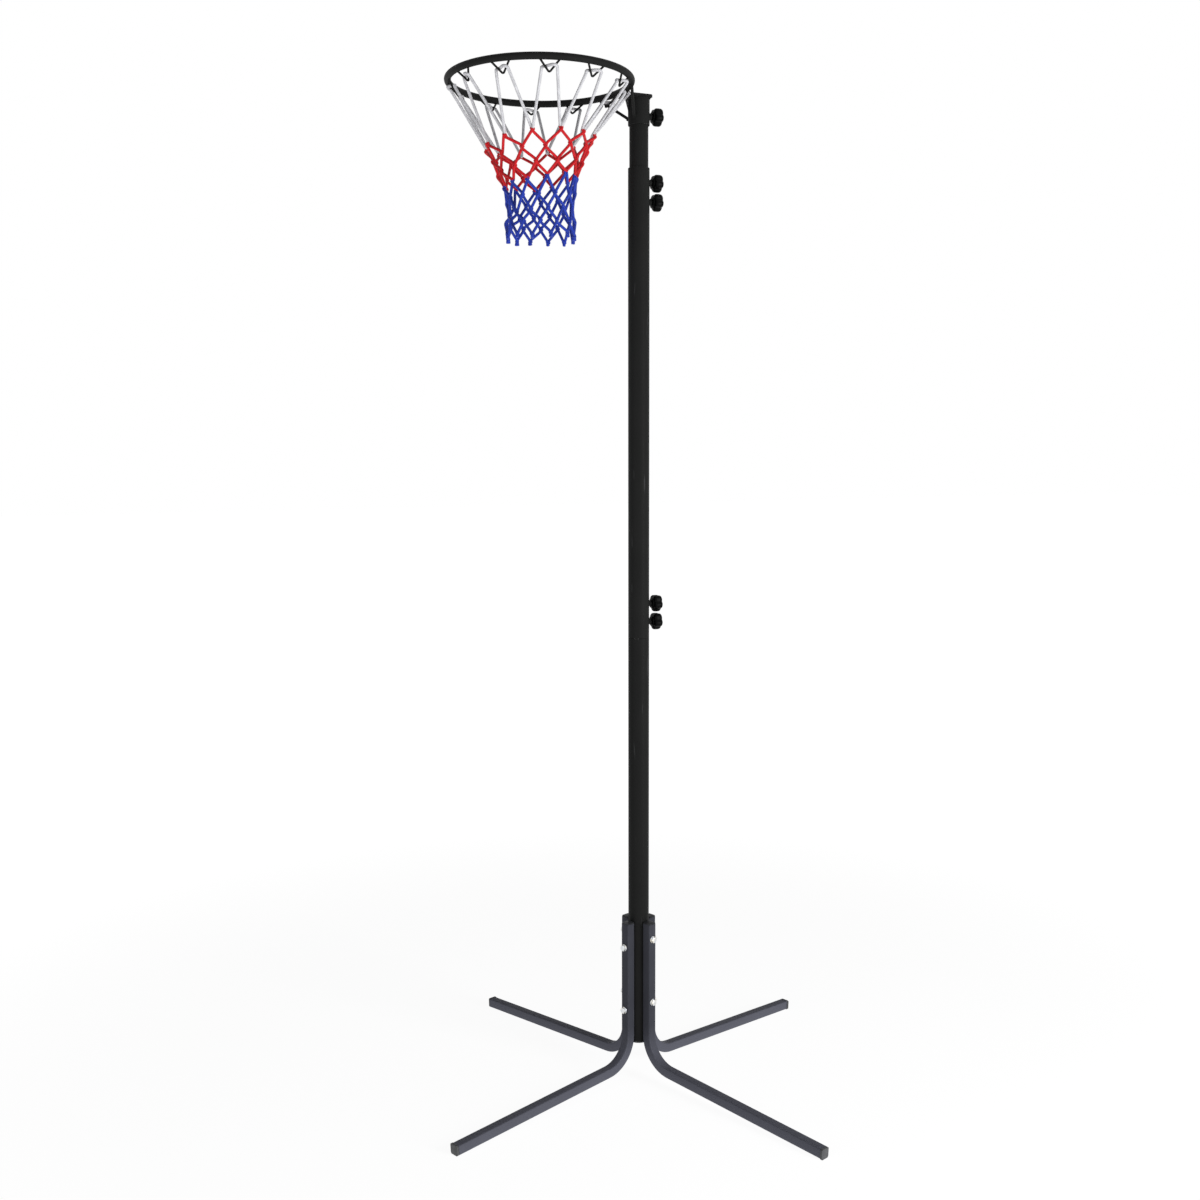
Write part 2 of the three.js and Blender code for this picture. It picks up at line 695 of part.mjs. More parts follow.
function addKnot(surface, row, index, { above, below, tip = 0 }) {
  const { angle, centre } = knotPlace(row, index);
  const outward = at(Math.cos(angle), Math.sin(angle), 0);
  const right = at(-Math.sin(angle), Math.cos(angle), 0);
  const up = at(0, 0, 1);
  const slope = above ?? below;
  const halfWidth = NET_CORD / Math.hypot(1, slope);
  const seat = above && below ? 0 : ((above ? 1 : -1) * SEAT_GAP) / 2;
  const corner = (sideways, rise) => {
    const place = centre.clone().addScaledVector(right, sideways).addScaledVector(up, rise);
    return {
      outer: surface.corner(place.clone().addScaledVector(outward, NET_CORD / 2)),
      inner: surface.corner(place.clone().addScaledVector(outward, -NET_CORD / 2)),
    };
  };
  const flat = tip > 0 ? 0 : seat;
  const knot = { left: corner(-halfWidth, flat), right: corner(halfWidth, flat) };
  if (above) knot.top = corner(0, flat + halfWidth * above);
  if (below) knot.bottom = corner(0, flat - halfWidth * below);
  if (tip > 0) knot.bottom = corner(0, -tip);
  const round = [knot.left, knot.bottom, knot.right, knot.top].filter(Boolean);
  surface.face(...round.map((place) => place.outer));
  surface.face(...round.map((place) => place.inner).reverse());
  return knot;
}

// Diamond mesh from one row down to another, closed at both ends
function netMesh([firstRow, lastRow]) {
  const endsInTips = lastRow === NET_DROP_SHARES.length - 1;
  const surface = new CordSurface();
  const rows = [];
  for (let row = firstRow; row <= lastRow; row += 1) {
    const above = row > firstRow ? rowSlope(row - 1, row) : undefined;
    const below = row < lastRow ? rowSlope(row, row + 1) : undefined;
    const tip = row === lastRow && endsInTips ? NET_TIP_DEPTH : 0;
    const knots = [];
    for (let index = 0; index < HOOK_COUNT; index += 1) {
      knots.push(addKnot(surface, row, index, { above, below, tip }));
    }
    rows.push(knots);
  }
  rows.forEach((knots, level) => {
    const row = firstRow + level;
    knots.forEach((knot, index) => {
      if (row === firstRow) surface.face(...sideRing(knot.left, knot.right));
      if (row === lastRow && !endsInTips) surface.face(...sideRing(knot.right, knot.left));
      if (row === lastRow && endsInTips) {
        surface.face(...sideRing(knot.right, knot.bottom));
        surface.face(...sideRing(knot.bottom, knot.left));
      }
      if (row === lastRow) return;
      const lowerKnots = rows[level + 1];
      const shift = row % 2;
      const rightKnot = lowerKnots[(index + shift) % HOOK_COUNT];
      const leftKnot = lowerKnots[(index + shift - 1 + HOOK_COUNT) % HOOK_COUNT];
      surface.link(sideRing(knot.right, knot.bottom), sideRing(rightKnot.top, rightKnot.left));
      surface.link(sideRing(leftKnot.top, leftKnot.right), sideRing(knot.left, knot.bottom));
    });
  });
  return surface.geometry();
}

// The white cord runs from a first-row knot up to a hook, through its V and down to the next knot
function netLoops() {
  const surface = new CordSurface();
  const leanAngle = Math.atan(HOOK_LEAN / (hookStart - hookTip));
  const clear = (HOOK_WIRE / 2 + NET_CORD / 2 + 2 * SEAT_GAP) / Math.cos(leanAngle);
  const crossing = -ringRodRadius - LOOP_CROSSING_DROP;
  const shoulder = crossing - NET_CORD / 2;
  const tail = shoulder - LOOP_TAIL;
  const route = [
    [-LOOP_SPREAD, clear / 2, tail],
    [-LOOP_SHOULDER, clear, shoulder],
    [-LOOP_CROSSING_HALF, clear, crossing],
    [LOOP_CROSSING_HALF, -clear, crossing],
    [LOOP_SHOULDER, -clear, shoulder],
    [LOOP_SPREAD, -clear / 2, tail],
  ];
  const slope = (LOOP_SPREAD / 2) / (tail + NET_LENGTH * NET_DROP_SHARES[0]);
  const knots = [];
  for (let index = 0; index < HOOK_COUNT; index += 1) {
    knots.push(addKnot(surface, 0, index, { above: Math.max(slope, LEAST_KNOT_SLOPE_SHARE) }));
  }
  knots.forEach((knot, index) => {
    const next = knots[(index + 1) % HOOK_COUNT];
    const middle = (index + 1 / 2) * knotStep;
    const outward = at(Math.cos(middle), Math.sin(middle), 0);
    const right = at(-Math.sin(middle), Math.cos(middle), 0);
    // The cords next to the braces pass inside their hooks, on both sides alike
    const hand = index < HOOK_COUNT / 2 ? 1 : -1;
    const stops = route.map(([sideways, radial, height]) => at(0, 0, height)
      .addScaledVector(right, sideways)
      .addScaledVector(outward, ringRadius - leanAt(height) + hand * radial));
    const ends = [knotPlace(0, index).centre, knotPlace(0, index + 1).centre];
    const path = new StationPath([ends[0], ...stops, ends[1]]);
    let from = sideRing(knot.top, knot.right);
    stops.forEach((stop, step) => {
      const along = path.getTangentAt((step + 1) / (stops.length + 1));
      const face = outward.clone().addScaledVector(along, -outward.dot(along)).normalize();
      const across = face.clone().cross(along);
      const corner = (sign) => {
        const place = stop.clone().addScaledVector(across, (sign * NET_CORD) / 2);
        return {
          outer: surface.corner(place.clone().addScaledVector(face, NET_CORD / 2)),
          inner: surface.corner(place.clone().addScaledVector(face, -NET_CORD / 2)),
        };
      };
      const to = sideRing(corner(1), corner(-1));
      surface.link(from, to);
      from = to;
    });
    surface.link(from, sideRing(next.top, next.left));
    surface.face(...sideRing(knot.right, knot.left));
  });
  return surface.geometry();
}

// Assembly
const post = new THREE.Group();

post.add(
  piece('lower_tube', lowerTube(), FINISHES.pole),
  piece('middle_tube', middleTube(), FINISHES.pole),
  piece('upper_tube', upperTube(), FINISHES.pole),
  piece('pole_bottom_plug', poleBottomPlug(), FINISHES.cap),
);

LEG_NAMES.forEach((place, index) => {
  const { heights } = boltLines[index % boltLines.length];
  post.add(turnedGroup(
    legHeading(index),
    piece(`leg_${place}`, leg(heights), FINISHES.leg),
    piece(`foot_cap_${place}`, footCap(), FINISHES.cap),
    piece(`leg_plug_${place}`, legTopPlug(), FINISHES.cap),
  ));
});

for (const { heading, heights, name } of boltLines) {
  heights.forEach((height, index) => {
    post.add(turnedGroup(
      heading,
      piece(`base_bolt_${name}${index + 1}`, baseBolt(height), FINISHES.zinc),
      piece(`base_nut_${name}${index + 1}`, baseNut(height), FINISHES.zinc),
    ));
  });
}

const knobGeometry = clampKnob();
for (const [name, clamp] of Object.entries(clamps)) {
  const screw = new THREE.Group();
  screw.position.z = clamp.height;
  screw.add(
    piece(`weld_nut_${name}`, weldNut(clamp), FINISHES.pole),
    piece(`stud_${name}`, clampStud(clamp), FINISHES.zinc),
    piece(`knob_${name}`, knobGeometry, FINISHES.knob),
  );
  post.add(screw);
}

post.add(
  piece('ring_collar', ringCollar(), FINISHES.pole),
  piece('ring_top_plate', topPlate(), FINISHES.pole),
  piece('ring_brace_left', ringBrace(1), FINISHES.pole),
  piece('ring_brace_right', ringBrace(-1), FINISHES.pole),
);

const hoop = new THREE.Group();
hoop.position.set(ringCentreX, 0, ringHeight);
hoop.add(
  piece('ring', ring(), FINISHES.pole),
  piece('net_white', netLoops(), FINISHES.netWhite),
  ...NET_PARTS.map(({ name, rows, finish: colour }) => piece(name, netMesh(rows), FINISHES[colour])),
);
const hookGeometry = hook();
for (let index = 0; index < HOOK_COUNT; index += 1) {
  const heading = ((index + 1 / 2) * 360) / HOOK_COUNT;
  hoop.add(turnedGroup(heading, piece(`hook_${index + 1}`, hookGeometry, FINISHES.pole)));
}
post.add(hoop);

export default post;
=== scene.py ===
"""A netball post: fine shapes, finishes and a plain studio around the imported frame.

All lengths are metres, +Z is up, and the origin is on the floor at the pole's axis. The ring
reaches towards -X and the clamp knobs stand out towards +X.
"""

from __future__ import annotations

import logging
import math
from dataclasses import dataclass
from enum import Enum
from typing import Iterable, Mapping, Sequence

import bmesh
import bpy
import numpy as np
from mathutils import Matrix, Vector


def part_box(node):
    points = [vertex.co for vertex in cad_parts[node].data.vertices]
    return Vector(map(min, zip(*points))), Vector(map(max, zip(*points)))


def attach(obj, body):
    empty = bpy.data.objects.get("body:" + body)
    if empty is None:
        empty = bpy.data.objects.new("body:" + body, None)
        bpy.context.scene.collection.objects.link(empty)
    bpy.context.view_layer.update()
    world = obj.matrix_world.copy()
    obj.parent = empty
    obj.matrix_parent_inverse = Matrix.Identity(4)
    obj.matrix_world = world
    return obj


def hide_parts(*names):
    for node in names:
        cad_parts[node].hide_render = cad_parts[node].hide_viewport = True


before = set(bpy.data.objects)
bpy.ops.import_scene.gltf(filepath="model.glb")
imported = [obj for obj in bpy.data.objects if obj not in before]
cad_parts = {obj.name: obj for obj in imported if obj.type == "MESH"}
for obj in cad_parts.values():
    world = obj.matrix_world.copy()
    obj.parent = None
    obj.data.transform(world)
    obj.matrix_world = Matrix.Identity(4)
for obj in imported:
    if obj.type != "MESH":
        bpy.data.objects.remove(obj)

LOG = logging.getLogger("netball_post")
CLAMP_NAMES = ("ring", "mast_upper", "mast_lower", "pole_upper", "pole_lower")
LEG_NAMES = ("back_right", "back_left", "front_left", "front_right")
WEAR_NAME = "wear"

# The gap between seated parts in the frame
SEAT_GAP = 0.0003

# Least angles between the faces at an edge that is worn, shaded sharp, bevelled, or kept at all
WORN_ANGLE = math.radians(18)
SHARP_ANGLE = math.radians(34)
BEVELLED_ANGLE = math.radians(40)
KEPT_ANGLE = math.radians(1)

# How a copied frame node is merged and bevelled
MERGE_DISTANCE = 2e-6
BEVEL_STEPS = 3

# A hexagon's chamfer: its slope, and the radius that it leaves as a share of half the flats
CHAMFER_ANGLE = math.radians(30)
CHAMFER_SHARE = 0.95

TUBE_SIDES = 96
HEXAGON_SIDES = 72

Triple = tuple[float, float, float]
Colour = Triple
Range = tuple[float, float]
Points = Sequence[Sequence[float]]


class Slot(Enum):
    """The record's material slots."""

    POLE_PAINT = "pole_paint"
    LEG_PAINT = "leg_paint"
    ZINC = "zinc"
    KNOB_PLASTIC = "knob_plastic"
    CAP_PLASTIC = "cap_plastic"
    CORD_WHITE = "cord_white"
    CORD_RED = "cord_red"
    CORD_BLUE = "cord_blue"


class Section(Enum):
    """The section of a swept bar."""

    ROUND = "round"
    SQUARE = "square"


class Level(Enum):
    """Where a cord's point is beside a knot's middle."""

    ABOVE = 1
    AT = 0
    BELOW = -1


class Graph:
    """A node tree that is written as calls."""

    def __init__(self, tree: bpy.types.NodeTree) -> None:
        """Keep the tree that takes the nodes."""
        self.tree = tree

    def node(
        self,
        kind: str,
        settings: Mapping[str, object] | None = None,
        inputs: Mapping[str | int, object] | None = None,
    ) -> bpy.types.Node:
        """Add a node.

        Args:
            kind: The node's type.
            settings: Its properties, which are set first.
            inputs: Values, sockets or signals by the input's name or number.

        Returns:
            The new node.
        """
        made = self.tree.nodes.new(kind)
        for name, value in (settings or {}).items():
            setattr(made, name, value)
        for key, value in (inputs or {}).items():
            self.feed(made.inputs[key], value)
        return made

    def feed(self, socket: bpy.types.NodeSocket, value: object) -> None:
        """Link or set an input.

        Args:
            socket: The input.
            value: A value, a socket or a signal.
        """
        source = value.socket if isinstance(value, Signal) else value
        if isinstance(source, bpy.types.NodeSocket):
            self.tree.links.new(source, socket)
        else:
            socket.default_value = source

    def signal(
        self,
        kind: str,
        settings: Mapping[str, object] | None = None,
        inputs: Mapping[str | int, object] | None = None,
        output: str | int = 0,
    ) -> Signal:
        """Add a node as `node` does, and wrap the output of a name or number."""
        return Signal(self, self.node(kind, settings, inputs).outputs[output])


class Signal:
    """A number's socket that takes part in Python arithmetic."""

    def __init__(self, graph: Graph, socket: bpy.types.NodeSocket) -> None:
        """Keep the graph that takes the maths nodes, and the number's socket."""
        self.graph = graph
        self.socket = socket

    def maths(self, operation: str, *operands: object) -> Signal:
        """Add a Math node of an operation, with its inputs in order."""
        settings = {"operation": operation}
        return self.graph.signal("ShaderNodeMath", settings, dict(enumerate(operands)))

    def __add__(self, other: Signal | float) -> Signal:
        """Sum."""
        return self.maths("ADD", self, other)

    __radd__ = __add__

    def __sub__(self, other: Signal | float) -> Signal:
        """Difference."""
        return self.maths("SUBTRACT", self, other)

    def __rsub__(self, other: float) -> Signal:
        """Difference from a number."""
        return self.maths("SUBTRACT", other, self)

    def __mul__(self, other: Signal | float) -> Signal:
        """Product."""
        return self.maths("MULTIPLY", self, other)

    __rmul__ = __mul__

    def __truediv__(self, other: Signal | float) -> Signal:
        """Quotient."""
        return self.maths("DIVIDE", self, other)

    def __rtruediv__(self, other: float) -> Signal:
        """Quotient of a number."""
        return self.maths("DIVIDE", other, self)

    def sine(self) -> Signal:
        """Sine."""
        return self.maths("SINE", self)

    def greater(self, other: Signal | bpy.types.NodeSocket) -> Signal:
        """The larger of two."""
        return self.maths("MAXIMUM", self, other)

    def between(self, low: float, high: float, start: float = 0.0, end: float = 1.0) -> Signal:
        """Map the values from low to high smoothly to those from start to end."""
        values = dict(enumerate((self, low, high, start, end)))
        return self.graph.signal("ShaderNodeMapRange", {"interpolation_type": "SMOOTHSTEP"}, values)


class Surface(Graph):
    """A material's graph with its Principled shader."""

    # The Mix node's sockets for colours
    SHARE, FIRST, SECOND = 0, 6, 7
    MIXED = 2

    # Heights between which the lighter colour near the floor fades out, and how much darker and
    # lighter its patches are; on the legs this is painted light from the floor
    FLOOR_TONE_HEIGHTS = (0.05, 0.14)
    FLOOR_TONE_SHADES = (0.9, 1.1)

    EVEN = (1.0, 1.0, 1.0)

    def __init__(self, name: str) -> None:
        """Make the material.

        Args:
            name: The material's name.
        """
        self.material = bpy.data.materials.new(name)
        self.material.use_nodes = True
        super().__init__(self.material.node_tree)
        self.shader = self.tree.nodes["Principled BSDF"]
        self.place = self.node("ShaderNodeTexCoord").outputs["Object"]

    def noise(self, scale: float, detail: float, stretch: Triple = EVEN) -> Signal:
        """Noise on Object coordinates.

        Args:
            scale: Features to the metre.
            detail: Octaves.
            stretch: The scale along each axis.

        Returns:
            The noise, from 0 to 1.
        """
        place = self.place
        if stretch != self.EVEN:
            mapping = {"Vector": place, "Scale": stretch}
            place = self.node("ShaderNodeMapping", None, mapping).outputs[0]
        values = {"Vector": place, "Scale": scale, "Detail": detail}
        return self.signal("ShaderNodeTexNoise", None, values)

    def blend(
        self,
        share: Signal,
        first: Colour | bpy.types.NodeSocket,
        second: Colour | bpy.types.NodeSocket,
    ) -> bpy.types.NodeSocket:
        """Mix two colours by the share of the second, and return the mixed colour's socket."""
        colours = {self.FIRST: opaque(first), self.SECOND: opaque(second), self.SHARE: share}
        return self.node("ShaderNodeMix", {"data_type": "RGBA"}, colours).outputs[self.MIXED]

    def shaded(self, share: Signal, colour: Colour, shades: Range) -> bpy.types.NodeSocket:
        """Mix two shades of a colour, which is multiplied by a number for each."""
        first, second = (tuple(channel * shade for channel in colour) for shade in shades)
        return self.blend(share, first, second)

    def floor_toned(
        self,
        higher: Colour | bpy.types.NodeSocket,
        floor_tone: Colour,
        cloud: Signal,
    ) -> bpy.types.NodeSocket:
        """Blend towards a lighter colour near the floor; on the legs this is painted light from the
        floor.

        Args:
            higher: The colour away from the floor, or its socket.
            floor_tone: The lighter colour near the floor.
            cloud: Noise that makes that colour uneven.

        Returns:
            The mixed colour's socket.
        """
        # On the legs this is painted light: lighter towards the floor, with painted shade up the
        # uprights
        height = self.signal("ShaderNodeSeparateXYZ", None, {0: self.place}, "Z")
        near_floor = self.shaded(cloud, floor_tone, self.FLOOR_TONE_SHADES)
        return self.blend(height.between(*self.FLOOR_TONE_HEIGHTS, 1.0, 0.0), higher, near_floor)

    def bump(self, height: Signal, distance: float, strength: float) -> None:
        """Raise the surface by a height signal, whose 1 stands a distance in metres high."""
        values = {"Height": height, "Distance": distance, "Strength": strength}
        self.set(Normal=self.node("ShaderNodeBump", None, values).outputs[0])

    def set(self, **values: object) -> None:
        """Set or link the shader's inputs, named with underscores for spaces."""
        for name, value in values.items():
            self.feed(self.shader.inputs[name.replace("_", " ")], value)


def opaque(colour: Colour | bpy.types.NodeSocket) -> Sequence[float] | bpy.types.NodeSocket:
    """A plain colour with its alpha, or the socket that was given."""
    return (*colour, 1.0) if isinstance(colour, tuple) else colour


@dataclass(frozen=True)
class PaintedMetal:
    """Satin powder coat with an orange-peel grain, worn edges, and a lighter colour near the floor,
    which on the legs is painted light.
    """

    name: str
    colour: Colour
    roughness: float
    specular: float
    floor_tone: Colour | None = None
    bare: Colour = (0.19, 0.19, 0.2)
    shades: Range = (0.82, 1.2)
    mottle: float = 14.0
    mottle_roughness: float = 0.12
    mottle_height_share: float = 0.5
    grain: float = 900.0
    grain_roughness: float = 0.08
    grain_height: float = 0.00004
    bump_strength: float = 0.6
    scratch_grain: float = 160.0
    scratch_stretch: Triple = (1.0, 1.0, 0.06)
    scratch_range: Range = (0.68, 0.74)
    scratch_share: float = 0.16
    chip_grain: float = 260.0
    chip_range: Range = (0.56, 0.66)
    chip_share: float = 0.85
    chip_depth_share: float = 0.6

    def material(self) -> bpy.types.Material:
        """Build the material.

        Returns:
            The material.
        """
        surface = Surface(self.name)
        mottle = surface.noise(self.mottle, detail=3.0)
        fine = surface.noise(self.grain, detail=1.0)
        scratch = surface.noise(self.scratch_grain, detail=2.0, stretch=self.scratch_stretch)
        scratches = scratch.between(*self.scratch_range)
        edge = surface.signal("ShaderNodeAttribute", {"attribute_name": WEAR_NAME}, None, "Fac")
        chips = edge * surface.noise(self.chip_grain, detail=4.0).between(*self.chip_range)
        marks = (scratches * self.scratch_share).greater(chips * self.chip_share)
        paint = surface.shaded(mottle, self.colour, self.shades)
        # Painted light on the legs: a lighter colour near the floor, with painted shade up the
        # uprights
        if self.floor_tone:
            paint = surface.floor_toned(paint, self.floor_tone, mottle)
        uneven = mottle * self.mottle_roughness + fine * self.grain_roughness
        mean = (self.mottle_roughness + self.grain_roughness) / 2
        surface.set(
            Base_Color=surface.blend(marks, paint, self.bare),
            Roughness=uneven + (self.roughness - mean),
            Specular_IOR_Level=self.specular,
        )
        height = fine + mottle * self.mottle_height_share - chips * self.chip_depth_share
        surface.bump(height, self.grain_height, self.bump_strength)
        return surface.material


@dataclass(frozen=True)
class PlatedSteel:
    """Bright zinc plate with a faint warm and cool tint and a fine grain."""

    name: str
    cool: Colour = (0.68, 0.71, 0.75)
    warm: Colour = (0.76, 0.73, 0.66)
    roughness: float = 0.24
    cloud: float = 120.0
    cloud_range: Range = (0.35, 0.65)
    cloud_roughness: float = 0.14
    grain: float = 2400.0
    grain_roughness: float = 0.08
    grain_height: float = 0.00001
    bump_strength: float = 0.5

    def material(self) -> bpy.types.Material:
        """Build the material.

        Returns:
            The material.
        """
        surface = Surface(self.name)
        cloud = surface.noise(self.cloud, detail=3.0)
        fine = surface.noise(self.grain, detail=2.0)
        surface.set(
            Base_Color=surface.blend(cloud.between(*self.cloud_range), self.cool, self.warm),
            Metallic=1.0,
            Roughness=cloud * self.cloud_roughness + fine * self.grain_roughness + self.roughness,
        )
        surface.bump(fine, self.grain_height, self.bump_strength)
        return surface.material


@dataclass(frozen=True)
class MouldedPlastic:
    """Moulded plastic with a spark-eroded grain, rubbed patches, and a lighter colour near the floor.
    """

    name: str
    colour: Colour
    roughness: float
    specular: float
    floor_tone: Colour | None = None
    shades: Range = (1.0, 1.5)
    rubbed_grain: float = 90.0
    rubbed_range: Range = (0.45, 0.7)
    rubbed_gloss: float = 0.1
    grain: float = 1500.0
    grain_roughness: float = 0.1
    grain_height: float = 0.00003
    bump_strength: float = 0.5

    def material(self) -> bpy.types.Material:
        """Build the material.

        Returns:
            The material.
        """
        surface = Surface(self.name)
        grain = surface.noise(self.grain, detail=2.0)
        rubbed = surface.noise(self.rubbed_grain, detail=3.0).between(*self.rubbed_range)
        plastic = surface.shaded(rubbed, self.colour, self.shades)
        if self.floor_tone:
            plastic = surface.floor_toned(plastic, self.floor_tone, rubbed)
        surface.set(
            Base_Color=plastic,
            Roughness=grain * self.grain_roughness + self.roughness - rubbed * self.rubbed_gloss,
            Specular_IOR_Level=self.specular,
        )
        surface.bump(grain, self.grain_height, self.bump_strength)
        return surface.material


@dataclass(frozen=True)
class BraidedCord:
    """Soft braided cord: crossing strands on the cord's own UV map, and uneven dye."""

    name: str
    colour: Colour
    shadow: Colour
    shades: Range = (0.86, 1.06)
    roughness: float = 0.75
    specular: float = 0.25
    sheen: float = 0.25
    sheen_roughness: float = 0.4
    strands: int = 5
    braid_height: float = 0.0004
    bump_strength: float = 0.8
    valley_range: Range = (0.45, 0.95)
    valley_share: float = 0.6
    dye_grain: float = 75.0
    dye_range: Range = (0.3, 0.7)
    fuzz_grain: float = 2600.0
    fuzz_roughness: float = 0.15
    fuzz_height_share: float = 0.25

    def material(self) -> bpy.types.Material:
        """Build the material.

        Returns:
            The material.
        """
        surface = Surface(self.name)
        along = surface.node("ShaderNodeUVMap", {"uv_map": CordGraph.UV_NAME}).outputs[0]
        parts = surface.node("ShaderNodeSeparateXYZ", None, {0: along})
        around = Signal(surface, parts.outputs["X"])
        length = Signal(surface, parts.outputs["Y"])
        turn = 2 * math.pi * self.strands
        right = ((around + length) * turn).sine()
        left = ((around - length) * turn).sine()
        braid = right.greater(left) * 0.5 + 0.5
        dye = surface.noise(self.dye_grain, detail=3.0).between(*self.dye_range)
        fuzz = surface.noise(self.fuzz_grain, detail=2.0)
        valley = braid.between(*self.valley_range, 1.0, 0.0)
        tone = surface.shaded(dye, self.colour, self.shades)
        surface.set(
            Base_Color=surface.blend(valley * self.valley_share, tone, self.shadow),
            Roughness=fuzz * self.fuzz_roughness + self.roughness,
            Specular_IOR_Level=self.specular,
            Sheen_Weight=self.sheen,
            Sheen_Roughness=self.sheen_roughness,
        )
        surface.bump(braid + fuzz * self.fuzz_height_share, self.braid_height, self.bump_strength)
        return surface.material


FINISHES = {
    Slot.POLE_PAINT: PaintedMetal(
        "pole_powder_coat",
        colour=(0.0165, 0.0168, 0.0165),
        roughness=0.5,
        specular=0.035,
    ),
    Slot.LEG_PAINT: PaintedMetal(
        "leg_powder_coat",
        colour=(0.058, 0.06, 0.074),
        roughness=0.52,
        specular=0.05,
        # Painted light: lighter towards the floor, so the uprights above read as shaded
        floor_tone=(0.124, 0.127, 0.157),
    ),
    Slot.ZINC: PlatedSteel("zinc_plate"),
    Slot.KNOB_PLASTIC: MouldedPlastic(
        "knob_nylon",
        colour=(0.0028, 0.003, 0.003),
        roughness=0.34,
        specular=0.045,
    ),
    Slot.CAP_PLASTIC: MouldedPlastic(
        "cap_polythene",
        colour=(0.03, 0.031, 0.034),
        roughness=0.52,
        specular=0.1,
        floor_tone=(0.125, 0.127, 0.132),
    ),
    Slot.CORD_WHITE: BraidedCord("white_cord", colour=(0.82, 0.82, 0.85), shadow=(0.4, 0.4, 0.43)),
    Slot.CORD_RED: BraidedCord("red_cord", colour=(0.84, 0.016, 0.024), shadow=(0.24, 0.003, 0.005)),
    Slot.CORD_BLUE: BraidedCord("blue_cord", colour=(0.028, 0.07, 0.58), shadow=(0.006, 0.014, 0.14)),
}


class Workshop:
    """Materials by slot, and the fitting of pieces to the frame."""

    def __init__(self) -> None:
        """Make every material once."""
        self.materials = {slot: finish.material() for slot, finish in FINISHES.items()}

    def fit(
        self,
        piece: bpy.types.Object,
        body: str,
        slot: Slot,
        nodes: Sequence[str] = (),
    ) -> None:
        """Let a piece take its finish, ride on a body and stand for frame nodes.

        Args:
            piece: The finished piece.
            body: The body that it moves with.
            slot: The slot of its material.
            nodes: The nodes that it stands for.
        """
        piece.data.materials.clear()
        piece.data.materials.append(self.materials[slot])
        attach(piece, body)
        if nodes:
            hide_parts(*nodes)
        LOG.info("%s rides on %s: %d faces", piece.name, body, len(piece.data.polygons))


class GeometryGraph(Graph):
    """A Geometry Nodes tree with named inputs that ends in Realize Instances and Set Material."""

    KINDS = {
        float: "NodeSocketFloat",
        int: "NodeSocketInt",
        tuple: "NodeSocketVector",
        bpy.types.Object: "NodeSocketObject",
        bpy.types.Material: "NodeSocketMaterial",
    }

    def __init__(self, name: str, inputs: Mapping[str, type]) -> None:
        """Make the tree and its inputs.

        Args:
            name: The tree's name.
            inputs: The type of each named input.
        """
        super().__init__(bpy.data.node_groups.new(name, "GeometryNodeTree"))
        panel = self.tree.interface
        panel.new_socket("Geometry", in_out="OUTPUT", socket_type="NodeSocketGeometry")
        panel.new_socket("Geometry", in_out="INPUT", socket_type="NodeSocketGeometry")
        self.identifiers = {}
        for label, kind in {**inputs, "Material": bpy.types.Material}.items():
            made = panel.new_socket(label, in_out="INPUT", socket_type=self.KINDS[kind])
            self.identifiers[label] = made.identifier
        self.entry = self.node("NodeGroupInput")
        self.exit = self.node("NodeGroupOutput")

    def given(self, label: str) -> Signal:
        """The signal of one of the tree's inputs."""
        return Signal(self, self.entry.outputs[label])

    def path(self) -> bpy.types.NodeSocket:
        """The incoming mesh of lines as a curve."""
        return self.node("GeometryNodeMeshToCurve", None, {0: self.given("Geometry")}).outputs[0]

    def close(self, geometry: bpy.types.NodeSocket) -> None:
        """End the tree.

        Args:
            geometry: The last geometry.
        """
        smooth = self.node("GeometryNodeSetShadeSmooth", None, {0: geometry}).outputs[0]
        real = self.node("GeometryNodeRealizeInstances", None, {0: smooth}).outputs[0]
        values = {"Geometry": real, "Material": self.given("Material")}
        dressed = self.node("GeometryNodeSetMaterial", None, values).outputs[0]
        self.feed(self.exit.inputs[0], dressed)

    def grow(self, name: str, base: bpy.types.Mesh, **values: object) -> bpy.types.Object:
        """Run the tree on a mesh and keep the result as a plain mesh.

        Args:
            name: The piece's name.
            base: The mesh that the tree starts from.
            values: Inputs by name, with underscores for spaces.

        Returns:
            The finished piece, linked to the scene.
        """
        host = linked(f"{name}_host", base)
        modifier = host.modifiers.new("grow", "NODES")
        modifier.node_group = self.tree
        for label, value in values.items():
            modifier[self.identifiers[label.replace("_", " ")]] = value
        graph = bpy.context.evaluated_depsgraph_get()
        mesh = bpy.data.meshes.new_from_object(host.evaluated_get(graph), depsgraph=graph)
        host.modifiers.remove(modifier)
        bpy.data.objects.remove(host)
        return sharpened(linked(name, mesh))


